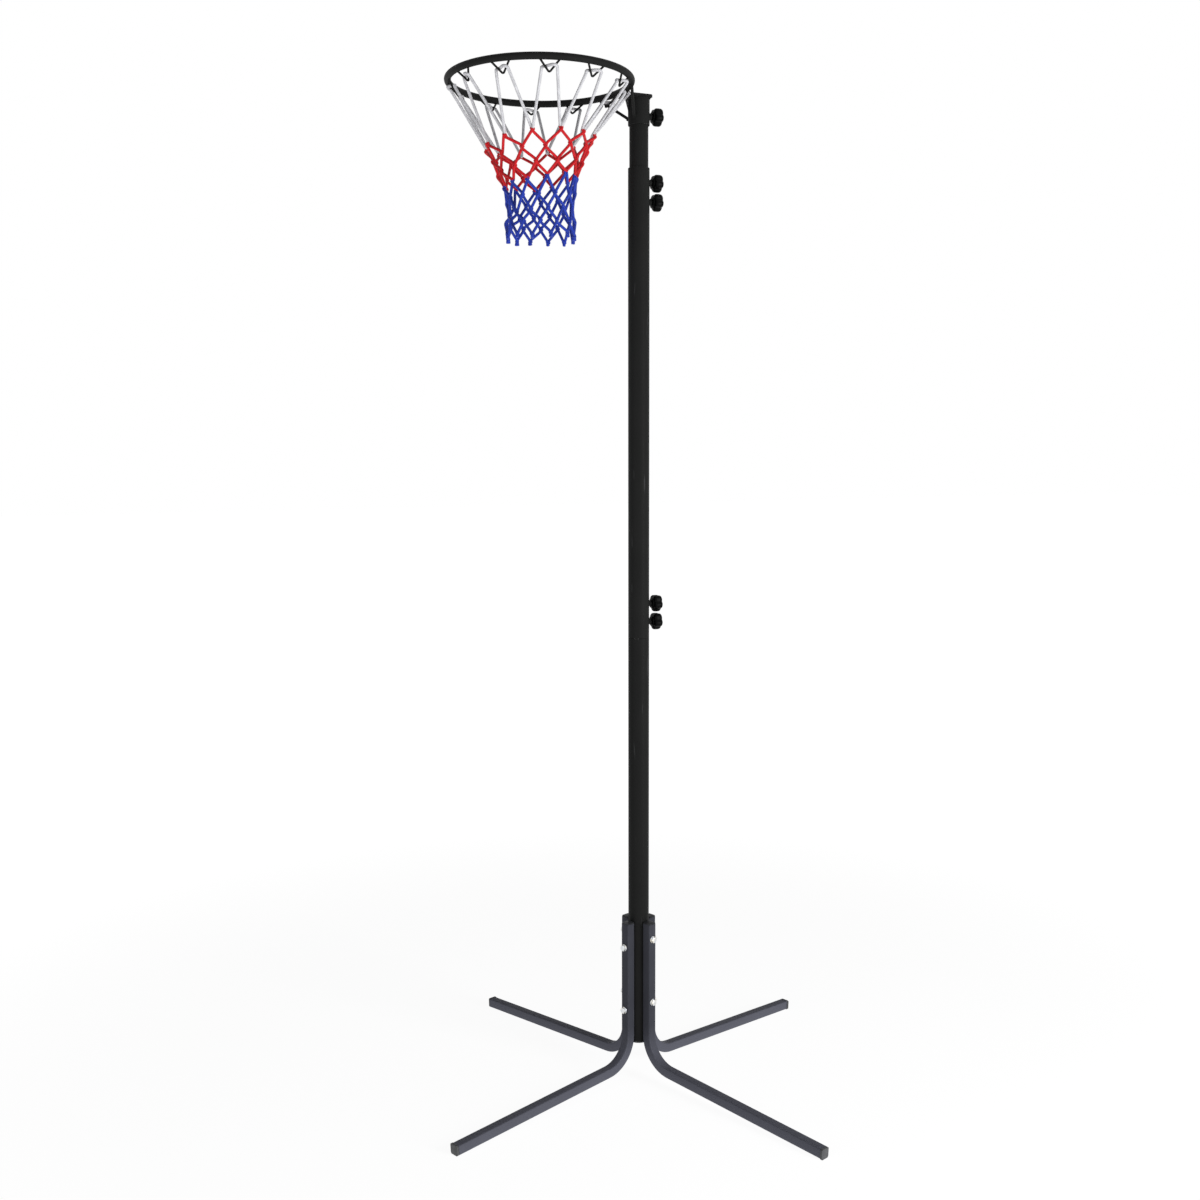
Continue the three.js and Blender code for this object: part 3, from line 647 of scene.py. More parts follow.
class BarGraph(GeometryGraph):
    """A round or square bar along a path with rounded bends, copied about an upright axis."""

    def __init__(self, section: Section) -> None:
        """Build the tree.

        Args:
            section: The bar's section.
        """
        inputs = {
            "Size": float,
            "Corner": float,
            "Bend Radius": float,
            "Bend Steps": int,
            "Sides": int,
            "Copies": int,
            "First Angle": float,
            "Centre": tuple,
        }
        super().__init__(f"{section.value}_bar", inputs)
        bends = {
            "Curve": self.path(),
            "Radius": self.given("Bend Radius"),
            "Count": self.given("Bend Steps"),
        }
        curve = self.node("GeometryNodeFilletCurve", {"mode": "POLY"}, bends).outputs[0]
        profile = {Section.ROUND: self.circle, Section.SQUARE: self.square}[section]()
        swept = {"Curve": curve, "Profile Curve": profile, "Fill Caps": True}
        bar = self.node("GeometryNodeCurveToMesh", None, swept).outputs[0]
        points = self.node("GeometryNodePoints", None, {"Count": self.given("Copies")}).outputs[0]
        index = self.signal("GeometryNodeInputIndex")
        step = 2 * math.pi / self.given("Copies")
        heading = index * step + self.given("First Angle")
        turn = self.signal("ShaderNodeCombineXYZ", None, {"Z": heading})
        rotation = self.signal("FunctionNodeEulerToRotation", None, {0: turn})
        copies = {"Points": points, "Instance": bar, "Rotation": rotation}
        ring = self.node("GeometryNodeInstanceOnPoints", None, copies).outputs[0]
        shifted = {"Geometry": ring, "Translation": self.given("Centre")}
        self.close(self.node("GeometryNodeTransform", None, shifted).outputs[0])

    def circle(self) -> bpy.types.NodeSocket:
        """The round section."""
        values = {"Resolution": self.given("Sides"), "Radius": self.given("Size") * 0.5}
        return self.node("GeometryNodeCurvePrimitiveCircle", None, values).outputs[0]

    def square(self) -> bpy.types.NodeSocket:
        """The square section with rounded corners.

        Returns:
            The profile's socket.
        """
        values = {"Width": self.given("Size"), "Height": self.given("Size")}
        outline = self.node("GeometryNodeCurvePrimitiveQuadrilateral", None, values).outputs[0]
        bends = {"Curve": outline, "Radius": self.given("Corner"), "Count": self.given("Sides")}
        return self.node("GeometryNodeFilletCurve", {"mode": "POLY"}, bends).outputs[0]


class CordGraph(GeometryGraph):
    """Cords along paths, tapered shut at their ends, with a UV map round and along them."""

    UV_NAME = "cord_uv"
    SEAM_DISTANCE = 1e-6

    def __init__(self) -> None:
        """Build the tree."""
        super().__init__("cords", {"Diameter": float, "Sides": int})
        curve, along = self.captured(self.path(), "Length")
        diameter = self.given("Diameter")
        section = {
            "Resolution": self.given("Sides") + 1,
            "Radius": diameter * 0.5,
            "Sweep Angle": 2 * math.pi,
        }
        profile = self.node("GeometryNodeCurveArc", None, section).outputs[0]
        profile, around = self.captured(profile, "Factor")
        ends = self.signal("GeometryNodeCurveEndpointSelection")
        swept = {"Curve": curve, "Profile Curve": profile, "Scale": 1.0 - ends}
        sleeve = self.node("GeometryNodeCurveToMesh", None, swept).outputs[0]
        turns = along / (diameter * math.pi)
        value = self.node("ShaderNodeCombineXYZ", None, {"X": around, "Y": turns}).outputs[0]
        store = self.node(
            "GeometryNodeStoreNamedAttribute",
            {"data_type": "FLOAT2", "domain": "CORNER"},
            {"Geometry": sleeve, "Name": self.UV_NAME, "Value": value},
        )
        welded = {"Geometry": store.outputs[0], "Distance": self.SEAM_DISTANCE}
        self.close(self.node("GeometryNodeMergeByDistance", None, welded).outputs[0])

    def captured(
        self,
        curve: bpy.types.NodeSocket,
        output: str,
    ) -> tuple[bpy.types.NodeSocket, Signal]:
        """Keep a spline parameter on a curve's points.

        Args:
            curve: The curve's socket.
            output: `Length` or `Factor`.

        Returns:
            The curve and the kept value.
        """
        capture = self.node("GeometryNodeCaptureAttribute")
        capture.capture_items.new("FLOAT", output)
        self.feed(capture.inputs["Geometry"], curve)
        self.feed(capture.inputs[output], self.node("GeometryNodeSplineParameter").outputs[output])
        return capture.outputs["Geometry"], Signal(self, capture.outputs[output])


class CopyGraph(GeometryGraph):
    """Copies of a part on points, each turned by the point's own angles."""

    TURN_NAME = "turn"

    def __init__(self) -> None:
        """Build the tree."""
        super().__init__("placed_copies", {"Part": bpy.types.Object})
        part = self.node("GeometryNodeObjectInfo", None, {"Object": self.given("Part")})
        vector = {"data_type": "FLOAT_VECTOR"}
        named = {"Name": self.TURN_NAME}
        angles = self.node("GeometryNodeInputNamedAttribute", vector, named).outputs[0]
        rotation = self.signal("FunctionNodeEulerToRotation", None, {0: angles})
        values = {
            "Points": self.given("Geometry"),
            "Instance": part.outputs["Geometry"],
            "Rotation": rotation,
        }
        self.close(self.node("GeometryNodeInstanceOnPoints", None, values).outputs[0])

    def place(
        self,
        name: str,
        part: bpy.types.Object,
        places: Points,
        turns: Points,
        material: bpy.types.Material,
    ) -> bpy.types.Object:
        """Copy a part to places and drop the part itself.

        Args:
            name: The piece's name.
            part: The part, made about the origin.
            places: Where each copy goes.
            turns: Each copy's Euler angles.
            material: The copies' material.

        Returns:
            One piece with all the copies.
        """
        base = bpy.data.meshes.new(name)
        base.from_pydata([tuple(place) for place in places], [], [])
        angles = base.attributes.new(self.TURN_NAME, "FLOAT_VECTOR", "POINT")
        angles.data.foreach_set("vector", [angle for turn in turns for angle in turn])
        piece = self.grow(name, base, Part=part, Material=material)
        bpy.data.objects.remove(part)
        return piece


class BeadGraph(GeometryGraph):
    """A weld: overlapping flat beads along a path."""

    SEGMENTS = 10
    RINGS = 6

    def __init__(self) -> None:
        """Build the tree."""
        super().__init__("weld_beads", {"Pitch": float, "Width": float, "Flatness": float})
        spacing = {"Curve": self.path(), "Length": self.given("Pitch")}
        points = self.node("GeometryNodeCurveToPoints", {"mode": "LENGTH"}, spacing)
        ball = {
            "Segments": self.SEGMENTS,
            "Rings": self.RINGS,
            "Radius": self.given("Width") * 0.5,
        }
        bead = self.node("GeometryNodeMeshUVSphere", None, ball).outputs[0]
        scale = {"X": 1.0, "Y": 1.0, "Z": self.given("Flatness")}
        flat = self.signal("ShaderNodeCombineXYZ", None, scale)
        values = {
            "Points": points.outputs["Points"],
            "Instance": bead,
            "Rotation": points.outputs["Rotation"],
            "Scale": flat,
        }
        self.close(self.node("GeometryNodeInstanceOnPoints", None, values).outputs[0])


class ThreadGraph(GeometryGraph):
    """A screw thread along +Z: a sharp ridge wound on a core."""

    STEPS = 24
    RIDGE_SHARE = 0.48

    def __init__(self) -> None:
        """Build the tree."""
        super().__init__("screw_thread", {"Core Radius": float, "Length": float, "Pitch": float})
        pitch = self.given("Pitch")
        length = self.given("Length")
        core = self.given("Core Radius")
        helix = {
            "Resolution": self.STEPS,
            "Rotations": length / pitch,
            "Start Radius": core,
            "End Radius": core,
            "Height": length,
        }
        spiral = self.node("GeometryNodeCurveSpiral", None, helix).outputs[0]
        triangle = {"Resolution": 3, "Radius": pitch * self.RIDGE_SHARE}
        profile = self.node("GeometryNodeCurvePrimitiveCircle", None, triangle).outputs[0]
        swept = {"Curve": spiral, "Profile Curve": profile, "Fill Caps": True}
        ridge = self.node("GeometryNodeCurveToMesh", None, swept).outputs[0]
        join = self.node("GeometryNodeJoinGeometry")
        for mesh in (ridge, self.given("Geometry")):
            self.feed(join.inputs[0], mesh)
        self.close(join.outputs[0])


def linked(name: str, mesh: bpy.types.Mesh) -> bpy.types.Object:
    """Make an object and link it to the scene.

    Args:
        name: The object's name.
        mesh: Its mesh.

    Returns:
        The object.
    """
    made = bpy.data.objects.new(name, mesh)
    bpy.context.scene.collection.objects.link(made)
    return made


def sharpened(piece: bpy.types.Object) -> bpy.types.Object:
    """Shade a piece smooth but for its sharp edges.

    Args:
        piece: The piece.

    Returns:
        The piece.
    """
    piece.data.shade_smooth()
    piece.data.set_sharp_from_angle(angle=SHARP_ANGLE)
    return piece


def from_bmesh(name: str, solid: bmesh.types.BMesh, worn: bool = True) -> bpy.types.Object:
    """Turn a bmesh into a piece with its normals out and its tight roundings marked as worn.

    Args:
        name: The piece's name.
        solid: The closed shape.
        worn: Whether the wear is marked.

    Returns:
        The piece.
    """
    bmesh.ops.recalc_face_normals(solid, faces=solid.faces)
    solid.normal_update()
    wear = [
        float(worn and any(folded(edge, WORN_ANGLE) for edge in point.link_edges))
        for point in solid.verts
    ]
    mesh = bpy.data.meshes.new(name)
    solid.to_mesh(mesh)
    solid.free()
    mesh.attributes.new(WEAR_NAME, "FLOAT", "POINT").data.foreach_set("value", wear)
    return sharpened(linked(name, mesh))


def folded(edge: bmesh.types.BMEdge, least: float) -> bool:
    """Whether two faces meet at an edge at more than an angle."""
    return len(edge.link_faces) == 2 and edge.calc_face_angle() > least


def path_mesh(name: str, paths: Sequence[Points], closed: bool = False) -> bpy.types.Mesh:
    """Make a mesh of polylines.

    Args:
        name: The mesh's name.
        paths: The points of each line.
        closed: Whether each line closes on itself.

    Returns:
        The mesh.
    """
    places, edges = [], []
    for path in paths:
        first = len(places)
        places.extend(tuple(point) for point in path)
        edges.extend((index, index + 1) for index in range(first, len(places) - 1))
        if closed:
            edges.append((len(places) - 1, first))
    mesh = bpy.data.meshes.new(name)
    mesh.from_pydata(places, edges, [])
    return mesh


def rounded(outline: Points, radius: float, steps: int = 4) -> list[tuple[float, float]]:
    """Round the corners of a closed outline.

    Args:
        outline: The corners.
        radius: The size of each rounding, at most half of the sides next to it.
        steps: Steps in each rounding.

    Returns:
        The rounded outline.
    """
    points = []
    places = [Vector(place) for place in outline]
    for index, corner in enumerate(places):
        back = places[index - 1] - corner
        ahead = places[(index + 1) % len(places)] - corner
        reach = min(radius, back.length / 2, ahead.length / 2)
        start = corner + back.normalized() * reach
        end = corner + ahead.normalized() * reach
        for step in range(steps + 1):
            share = step / steps
            near = start.lerp(corner, share)
            far = corner.lerp(end, share)
            points.append(tuple(near.lerp(far, share)))
    return points


def polar(radius: float, heading: float, height: float = 0.0) -> Vector:
    """The point at a radius, heading and height."""
    return Vector((radius * math.cos(heading), radius * math.sin(heading), height))


def arc(radius: float, start: float, end: float, steps: int, height: float = 0.0) -> list[Vector]:
    """Points at even steps along a level arc about the axis, from heading to heading."""
    return [polar(radius, heading, height) for heading in np.linspace(start, end, steps + 1)]


def spanned(
    name: str,
    solid: bmesh.types.BMesh,
    rings: Sequence[Sequence[bmesh.types.BMVert]],
    closed: bool,
    worn: bool,
) -> bpy.types.Object:
    """Span faces between neighbouring rings of points.

    Args:
        name: The piece's name.
        solid: The bmesh that holds the points.
        rings: Rings of equal length, and rings of a single point on the axis.
        closed: Whether the last ring meets the first.
        worn: Whether the wear is marked.

    Returns:
        The piece.
    """
    sides = max(len(ring) for ring in rings)
    pairs = list(zip(rings, rings[1:]))
    if closed:
        pairs.append((rings[-1], rings[0]))
    for lower, upper in pairs:
        for side in range(sides):
            following = (side + 1) % sides
            around = [lower[side % len(lower)], lower[following % len(lower)]]
            around += [upper[following % len(upper)], upper[side % len(upper)]]
            solid.faces.new(list(dict.fromkeys(around)))
    return from_bmesh(name, solid, worn)


def turned(
    name: str,
    profile: Points,
    sides: int,
    lobes: Sequence[float] | None = None,
    lobe_count: int = 1,
) -> bpy.types.Object:
    """Turn a profile about Z.

    Args:
        name: The piece's name.
        profile: Pairs of radius and height. It starts and ends on the axis or closes on itself.
        sides: Sides of the turning.
        lobes: For each profile point, how far broad lobes stand out and in from its radius.
        lobe_count: The number of lobes.

    Returns:
        The piece.
    """
    solid = bmesh.new()
    rings = []
    for index, (radius, height) in enumerate(profile):
        ring = []
        for side in range(sides if radius else 1):
            angle = 2 * math.pi * side / sides
            valley = (0.5 - 0.5 * math.cos(lobe_count * angle)) ** 2
            reach = radius + (lobes[index] * (1 - 2 * valley) if lobes else 0.0)
            ring.append(solid.verts.new(polar(reach, angle, height)))
        rings.append(ring)
    return spanned(name, solid, rings, closed=len(rings[0]) > 1, worn=lobes is None)


def tube(
    name: str,
    outer: float,
    inner: float,
    bottom: float,
    top: float,
    lip: float,
) -> bpy.types.Object:
    """Make an upright round tube with rounded lips."""
    outline = [(inner, bottom), (outer, bottom), (outer, top), (inner, top)]
    return turned(name, rounded(outline, lip), TUBE_SIDES)


def softened(name: str, node: str, width: float) -> bpy.types.Object:
    """Copy a frame node with its edges rounded.

    Args:
        name: The piece's name.
        node: The node to copy.
        width: The width of the rounding.

    Returns:
        The piece.
    """
    solid = bmesh.new()
    solid.from_mesh(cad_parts[node].data)
    bmesh.ops.remove_doubles(solid, verts=solid.verts, dist=MERGE_DISTANCE)
    bmesh.ops.dissolve_limit(solid, angle_limit=KEPT_ANGLE, verts=solid.verts, edges=solid.edges)
    bmesh.ops.recalc_face_normals(solid, faces=solid.faces)
    bmesh.ops.bevel(
        solid,
        geom=[edge for edge in solid.edges if folded(edge, BEVELLED_ANGLE)],
        offset=width,
        segments=BEVEL_STEPS,
        profile=0.5,
        affect="EDGES",
        clamp_overlap=True,
    )
    return from_bmesh(name, solid)


def joined(name: str, *pieces: bpy.types.Object) -> bpy.types.Object:
    """Join pieces into one, with their closed shells kept apart.

    Args:
        name: The new piece's name.
        pieces: The pieces, which are removed.

    Returns:
        The joined piece.
    """
    solid = bmesh.new()
    for piece in pieces:
        solid.from_mesh(piece.data)
    mesh = bpy.data.meshes.new(name)
    solid.to_mesh(mesh)
    solid.free()
    for piece in pieces:
        bpy.data.objects.remove(piece)
    return sharpened(linked(name, mesh))


def upwards(distance: float) -> Matrix:
    """The move up by a distance."""
    return Matrix.Translation((0, 0, distance))


def moved(piece: bpy.types.Object, matrix: Matrix) -> bpy.types.Object:
    """Move a piece's mesh and return the piece."""
    piece.data.transform(matrix)
    return piece


def smooth_path(points: Points, steps: int) -> list[Vector]:
    """Run a Catmull-Rom curve through points.

    Args:
        points: The points.
        steps: Steps between neighbours.

    Returns:
        The finer path.
    """
    stops = [Vector(point) for point in points]
    stops = [2 * stops[0] - stops[1], *stops, 2 * stops[-1] - stops[-2]]
    path = []
    for before, start, end, after in zip(stops, stops[1:], stops[2:], stops[3:]):
        for step in range(steps):
            t = step / steps
            path.append(0.5 * (
                2 * start
                + (end - before) * t
                + (2 * before - 5 * start + 4 * end - after) * t ** 2
                + (3 * start - before - 3 * end + after) * t ** 3
            ))
    return [*path, stops[-2]]


def hexagon_head(name: str, flats: float, height: float, bore: float = 0.0) -> bpy.types.Object:
    """Make a hexagon head or nut along Z, chamfered at its free end.

    Args:
        name: The piece's name.
        flats: Width across the flats.
        height: Height from the seat.
        bore: Radius of a through hole, or zero.

    Returns:
        The piece, seated at height zero.
    """
    inner = flats / 2 * CHAMFER_SHARE
    solid = bmesh.new()
    profiles = []
    for side in range(HEXAGON_SIDES):
        angle = 2 * math.pi * side / HEXAGON_SIDES
        corner = (angle + math.pi / 6) % (math.pi / 3) - math.pi / 6
        radius = flats / 2 / math.cos(corner)
        fall = (radius - inner) * math.tan(CHAMFER_ANGLE)
        profile = [(radius, 0.0), (radius, height - fall), (inner, height)]
        if bore:
            profile += [(bore, height), (bore, 0.0)]
        profiles.append([solid.verts.new(polar(reach, angle, level)) for reach, level in profile])
    rings = list(zip(*profiles))
    if not bore:
        solid.faces.new(rings[-1])
        solid.faces.new(rings[0])
    return spanned(name, solid, rings, closed=bool(bore), worn=False)


def pole_radius() -> float:
    """The outer radius of the pole's middle tube."""
    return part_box("middle_tube")[1].x


def middle_of(node: str) -> Vector:
    """The middle of a frame node's box."""
    low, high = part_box(node)
    return (low + high) / 2


def heading_of(node: str) -> float:
    """The heading of a frame node's middle from the pole's axis, in radians from +X."""
    centre = middle_of(node)
    return math.atan2(centre.y, centre.x)


@dataclass(frozen=True)
class ScrewSize:
    """The sizes that a bolt or stud shares with its nut."""

    diameter: float = 0.008
    pitch: float = 0.00125
    flats: float = 0.013
    nut_height: float = 0.0065
    thread_depth_share: float = 0.4
    sides: int = 32

    @property
    def core(self) -> float:
        """The radius of the core under the thread."""
        return self.diameter / 2 - self.pitch * self.thread_depth_share

    @property
    def bore(self) -> float:
        """The radius of a hole that clears the screw."""
        return self.diameter / 2 + SEAT_GAP


@dataclass
class Pole:
    """The three tubes of the telescopic pole and the plug in its lower end."""

    shop: Workshop
    wall: float = 0.002
    mast_wall: float = 0.0018
    spigot_clearance: float = 0.0003
    lip: float = 0.0007

    def build(self) -> None:
        """Build and fit the tubes."""
        self.lower_tube()
        low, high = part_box("middle_tube")
        middle = tube("pole_middle_section", high.x, high.x - self.wall, low.z, high.z, self.lip)
        self.shop.fit(middle, "base", Slot.POLE_PAINT, ["middle_tube"])
        low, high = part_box("upper_tube")
        mast = tube("mast_tube", high.x, high.x - self.mast_wall, low.z, high.z, self.lip)
        self.shop.fit(mast, "mast", Slot.POLE_PAINT, ["upper_tube"])
        plug = softened("pole_end_plug", "pole_bottom_plug", self.lip)
        self.shop.fit(plug, "base", Slot.CAP_PLASTIC, ["pole_bottom_plug"])

    def lower_tube(self) -> None:
        """Build and fit the lower tube with the spigot that carries the middle one."""
        low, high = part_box("lower_tube")
        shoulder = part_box("middle_tube")[0].z - SEAT_GAP
        bore = high.x - self.wall
        spigot = bore - self.spigot_clearance
        outline = [
            (bore, low.z),
            (high.x, low.z),
            (high.x, shoulder),
            (spigot, shoulder),
            (spigot, high.z),
            (spigot - self.wall, high.z),
            (spigot - self.wall, shoulder - self.wall),
            (bore, shoulder - self.wall),
        ]
        piece = turned("pole_lower_section", rounded(outline, self.lip), TUBE_SIDES)
        self.shop.fit(piece, "base", Slot.POLE_PAINT, ["lower_tube"])


@dataclass
class Base:
    """Four bent legs with their caps and plugs, and the bolts that hold them on the pole."""

    shop: Workshop
    bars: BarGraph
    copies: CopyGraph
    threads: ThreadGraph
    screw: ScrewSize = ScrewSize()
    leg_size: float = 0.022
    leg_corner: float = 0.0026
    corner_steps: int = 4
    bend_radius: float = 0.072
    bend_steps: int = 22
    run_angle: float = math.radians(3.1)
    reach: float = 0.556
    cap_thickness: float = 0.005
    foot_lift: float = 0.001
    cap_rounding: float = 0.0009
    head_height: float = 0.0053
    washer_radius: float = 0.008
    washer_thickness: float = 0.0016
    washer_sides: int = 48
    bolt_protrusion: float = 0.0025
    bolt_tip_share: float = 0.8

    def build(self) -> None:
        """Build and fit every piece of the base."""
        for name in LEG_NAMES:
            self.leg(name)
            cap = softened(f"floor_cap_{name}", f"foot_cap_{name}", self.cap_rounding)
            self.shop.fit(cap, "base", Slot.CAP_PLASTIC, [f"foot_cap_{name}"])
            plug = softened(f"top_plug_{name}", f"leg_plug_{name}", self.cap_rounding)
            self.shop.fit(plug, "base", Slot.CAP_PLASTIC, [f"leg_plug_{name}"])
        self.fasteners()

    def leg(self, name: str) -> None:
        """Build and fit one leg, swept round its bend.

        Args:
            name: Which leg.
        """
        centre = pole_radius() + SEAT_GAP + self.leg_size / 2
        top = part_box(f"leg_{name}")[1].z
        tip = self.reach - self.cap_thickness
        tip_height = self.foot_lift + self.leg_size / 2 / math.cos(self.run_angle)
        corner_height = tip_height + (tip - centre) * math.tan(self.run_angle)
        path = [(centre, 0, top), (centre, 0, corner_height), (tip, 0, tip_height)]
        piece = self.bars.grow(
            f"bent_leg_{name}",
            path_mesh(name, [path]),
            Size=self.leg_size,
            Corner=self.leg_corner,
            Bend_Radius=self.bend_radius,
            Bend_Steps=self.bend_steps,
            Sides=self.corner_steps,
            Copies=1,
            First_Angle=heading_of(f"foot_cap_{name}"),
            Material=self.shop.materials[Slot.LEG_PAINT],
        )
        self.shop.fit(piece, "base", Slot.LEG_PAINT, [f"leg_{name}"])

    def washer(self, seat: float) -> bpy.types.Object:
        """Build a washer along Z.

        Args:
            seat: The height that it rests on.

        Returns:
            The washer.
        """
        bore = self.screw.bore
        top = seat + self.washer_thickness
        outline = [(bore, seat), (self.washer_radius, seat), (self.washer_radius, top), (bore, top)]
        profile = rounded(outline, self.washer_thickness / 4, steps=2)
        return turned("washer", profile, self.washer_sides)

    def bolt(self, seat: float) -> bpy.types.Object:
        """Build a through bolt along Z, head up, with its washer.

        Args:
            seat: How far from the pole's axis the washer rests.

        Returns:
            The bolt.
        """
        screw = self.screw
        outer = seat + self.washer_thickness
        threaded = self.washer_thickness + screw.nut_height + self.bolt_protrusion
        end = seat + threaded
        head = moved(hexagon_head("head", screw.flats, self.head_height), upwards(outer))
        profile = [
            (0, -end),
            (screw.core * self.bolt_tip_share, -end),
            (screw.core, screw.pitch - end),
            (screw.core, outer),
            (0, outer),
        ]
        thread = self.threads.grow(
            "thread",
            bpy.data.meshes.new("thread"),
            Core_Radius=screw.core,
            Length=threaded,
            Pitch=screw.pitch,
            Material=self.shop.materials[Slot.ZINC],
        )
        moved(thread, upwards(screw.pitch / 2 - end))
        shank = turned("shank", profile, screw.sides)
        return joined("bolt", head, self.washer(seat), shank, thread)

    def nut(self, seat: float) -> bpy.types.Object:
        """Build a nut along -Z with its washer.

        Args:
            seat: How far from the pole's axis the washer rests.

        Returns:
            The nut.
        """
        hexagon = hexagon_head("hexagon", self.screw.flats, self.screw.nut_height, self.screw.bore)
        moved(hexagon, upwards(seat + self.washer_thickness))
        return moved(joined("nut", self.washer(seat), hexagon), Matrix.Rotation(math.pi, 4, "X"))

    def fasteners(self) -> None:
        """Build and fit the through bolts, heads towards the front, and their nuts."""
        seat = pole_radius() + 2 * SEAT_GAP + self.leg_size
        zinc = self.shop.materials[Slot.ZINC]
        for label, part in (("bolt", self.bolt(seat)), ("nut", self.nut(seat))):
            names = [f"base_{label}_{line}{number}" for line in "ab" for number in (1, 2)]
            places = [(0.0, 0.0, middle_of(name).z) for name in names]
            headings = [heading_of(name.replace(label, "nut")) for name in names]
            turns = [(0.0, math.pi / 2, heading + math.pi) for heading in headings]
            piece = self.copies.place(f"base_{label}s", part, places, turns, zinc)
            self.shop.fit(piece, "base", Slot.ZINC, names)


@dataclass
class ClampScrews:
    """The welded nuts, threaded studs and lobed knobs of the five clamp screws."""

    shop: Workshop
    copies: CopyGraph
    threads: ThreadGraph
    beads: BeadGraph
    screw: ScrewSize = ScrewSize()
    nut_sink: float = 0.0018
    knob_radius: float = 0.020
    knob_sides: int = 60
    lobe_depth: float = 0.0019
    lobe_count: int = 5
    weld_reach_share: float = 0.54
    weld_steps: int = 32
    bead_width: float = 0.0026
    bead_pitch_share: float = 0.6
    bead_flatness: float = 0.7

    # The knob's profile in shares of its length, of its radius and of its lobes' depth
    KNOB_SHARES = (
        (0.0, 0.0, 0.0),
        (0.0, 0.53, 0.0),
        (0.02, 0.57, 0.0),
        (0.125, 0.58, 0.0),
        (0.14, 0.63, 0.2),
        (0.15, 0.71, 0.6),
        (0.18, 0.8, 0.85),
        (0.25, 0.87, 1.0),
        (0.35, 0.905, 1.0),
        (0.74, 0.905, 1.0),
        (0.87, 0.86, 1.0),
        (0.95, 0.75, 0.85),
        (0.99, 0.6, 0.5),
        (1.0, 0.46, 0.15),
        (0.985, 0.36, 0.0),
        (0.955, 0.33, 0.0),
        (0.955, 0.0, 0.0),
    )

    def build(self) -> None:
        """Build and fit the clamp screws."""
        for name in CLAMP_NAMES:
            self.stud(name)
            self.knob(name)
        self.weld_nuts("pole_weld_nuts", "base", CLAMP_NAMES[1:])
        self.weld_nuts("collar_weld_nut", "head", CLAMP_NAMES[:1])

    def height(self, name: str) -> float:
        """The height of a clamp screw's axis."""
        return middle_of(f"stud_{name}").z

    def outwards(self, name: str, distance: float) -> Matrix:
        """The move that lays a part from +Z along a clamp's axis, some way out."""
        turn = Matrix.Rotation(math.pi / 2, 4, "Y")
        return upwards(self.height(name)) @ turn @ upwards(distance)

    def stud(self, name: str) -> None:
        """Build and fit a threaded stud.

        Args:
            name: Which clamp.
        """
        low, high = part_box(f"stud_{name}")
        core = self.screw.core
        tip = self.screw.pitch
        length = high.x - low.x
        profile = [(0, 0), (core - tip / 2, 0), (core, tip / 2), (core, length), (0, length)]
        body = turned("core", profile, self.screw.sides)
        stud = self.threads.grow(
            f"clamp_stud_{name}",
            body.data,
            Core_Radius=core,
            Length=length - tip,
            Pitch=self.screw.pitch,
            Material=self.shop.materials[Slot.ZINC],
        )
        bpy.data.objects.remove(body)
        moved(stud, self.outwards(name, low.x))
        self.shop.fit(stud, f"screw_{name}", Slot.ZINC, [f"stud_{name}"])

    def knob(self, name: str) -> None:
        """Build and fit a knob with broad lobes.

        Args:
            name: Which clamp.
        """
        low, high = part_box(f"knob_{name}")
        length = high.x - low.x
        profile = [
            (across * self.knob_radius, along * length) for along, across, _ in self.KNOB_SHARES
        ]
        lobes = [lobe * self.lobe_depth for _, _, lobe in self.KNOB_SHARES]
        knob = turned(f"clamp_knob_{name}", profile, self.knob_sides, lobes, self.lobe_count)
        finer = knob.modifiers.new("finer", "SUBSURF")
        finer.levels = finer.render_levels = 1
        moved(knob, self.outwards(name, low.x))
        self.shop.fit(knob, f"grip_{name}", Slot.KNOB_PLASTIC, [f"knob_{name}"])

    def weld_nuts(self, piece_name: str, body: str, names: Sequence[str]) -> None:
        """Build and fit the welded nuts of one body with the weld round each.

        Args:
            piece_name: The piece's name.
            body: The body that carries them.
            names: Their clamps.
        """
        wall = pole_radius()
        screw = self.screw
        nut = hexagon_head("nut", screw.flats, screw.nut_height + self.nut_sink, screw.bore)
        moved(nut, upwards(wall - self.nut_sink))
        paint = self.shop.materials[Slot.POLE_PAINT]
        reach = screw.flats * self.weld_reach_share
        seam = arc(reach, 0.0, 2 * math.pi, self.weld_steps, wall - self.nut_sink / 4)
        weld = self.beads.grow(
            "weld",
            path_mesh("weld", [seam]),
            Pitch=self.bead_width * self.bead_pitch_share,
            Width=self.bead_width,
            Flatness=self.bead_flatness,
            Material=paint,
        )
        places = [(0.0, 0.0, self.height(name)) for name in names]
        turns = [(0.0, math.pi / 2, 0.0)] * len(names)
        piece = self.copies.place(piece_name, joined("welded", nut, weld), places, turns, paint)
        self.shop.fit(piece, body, Slot.POLE_PAINT, [f"weld_nut_{name}" for name in names])


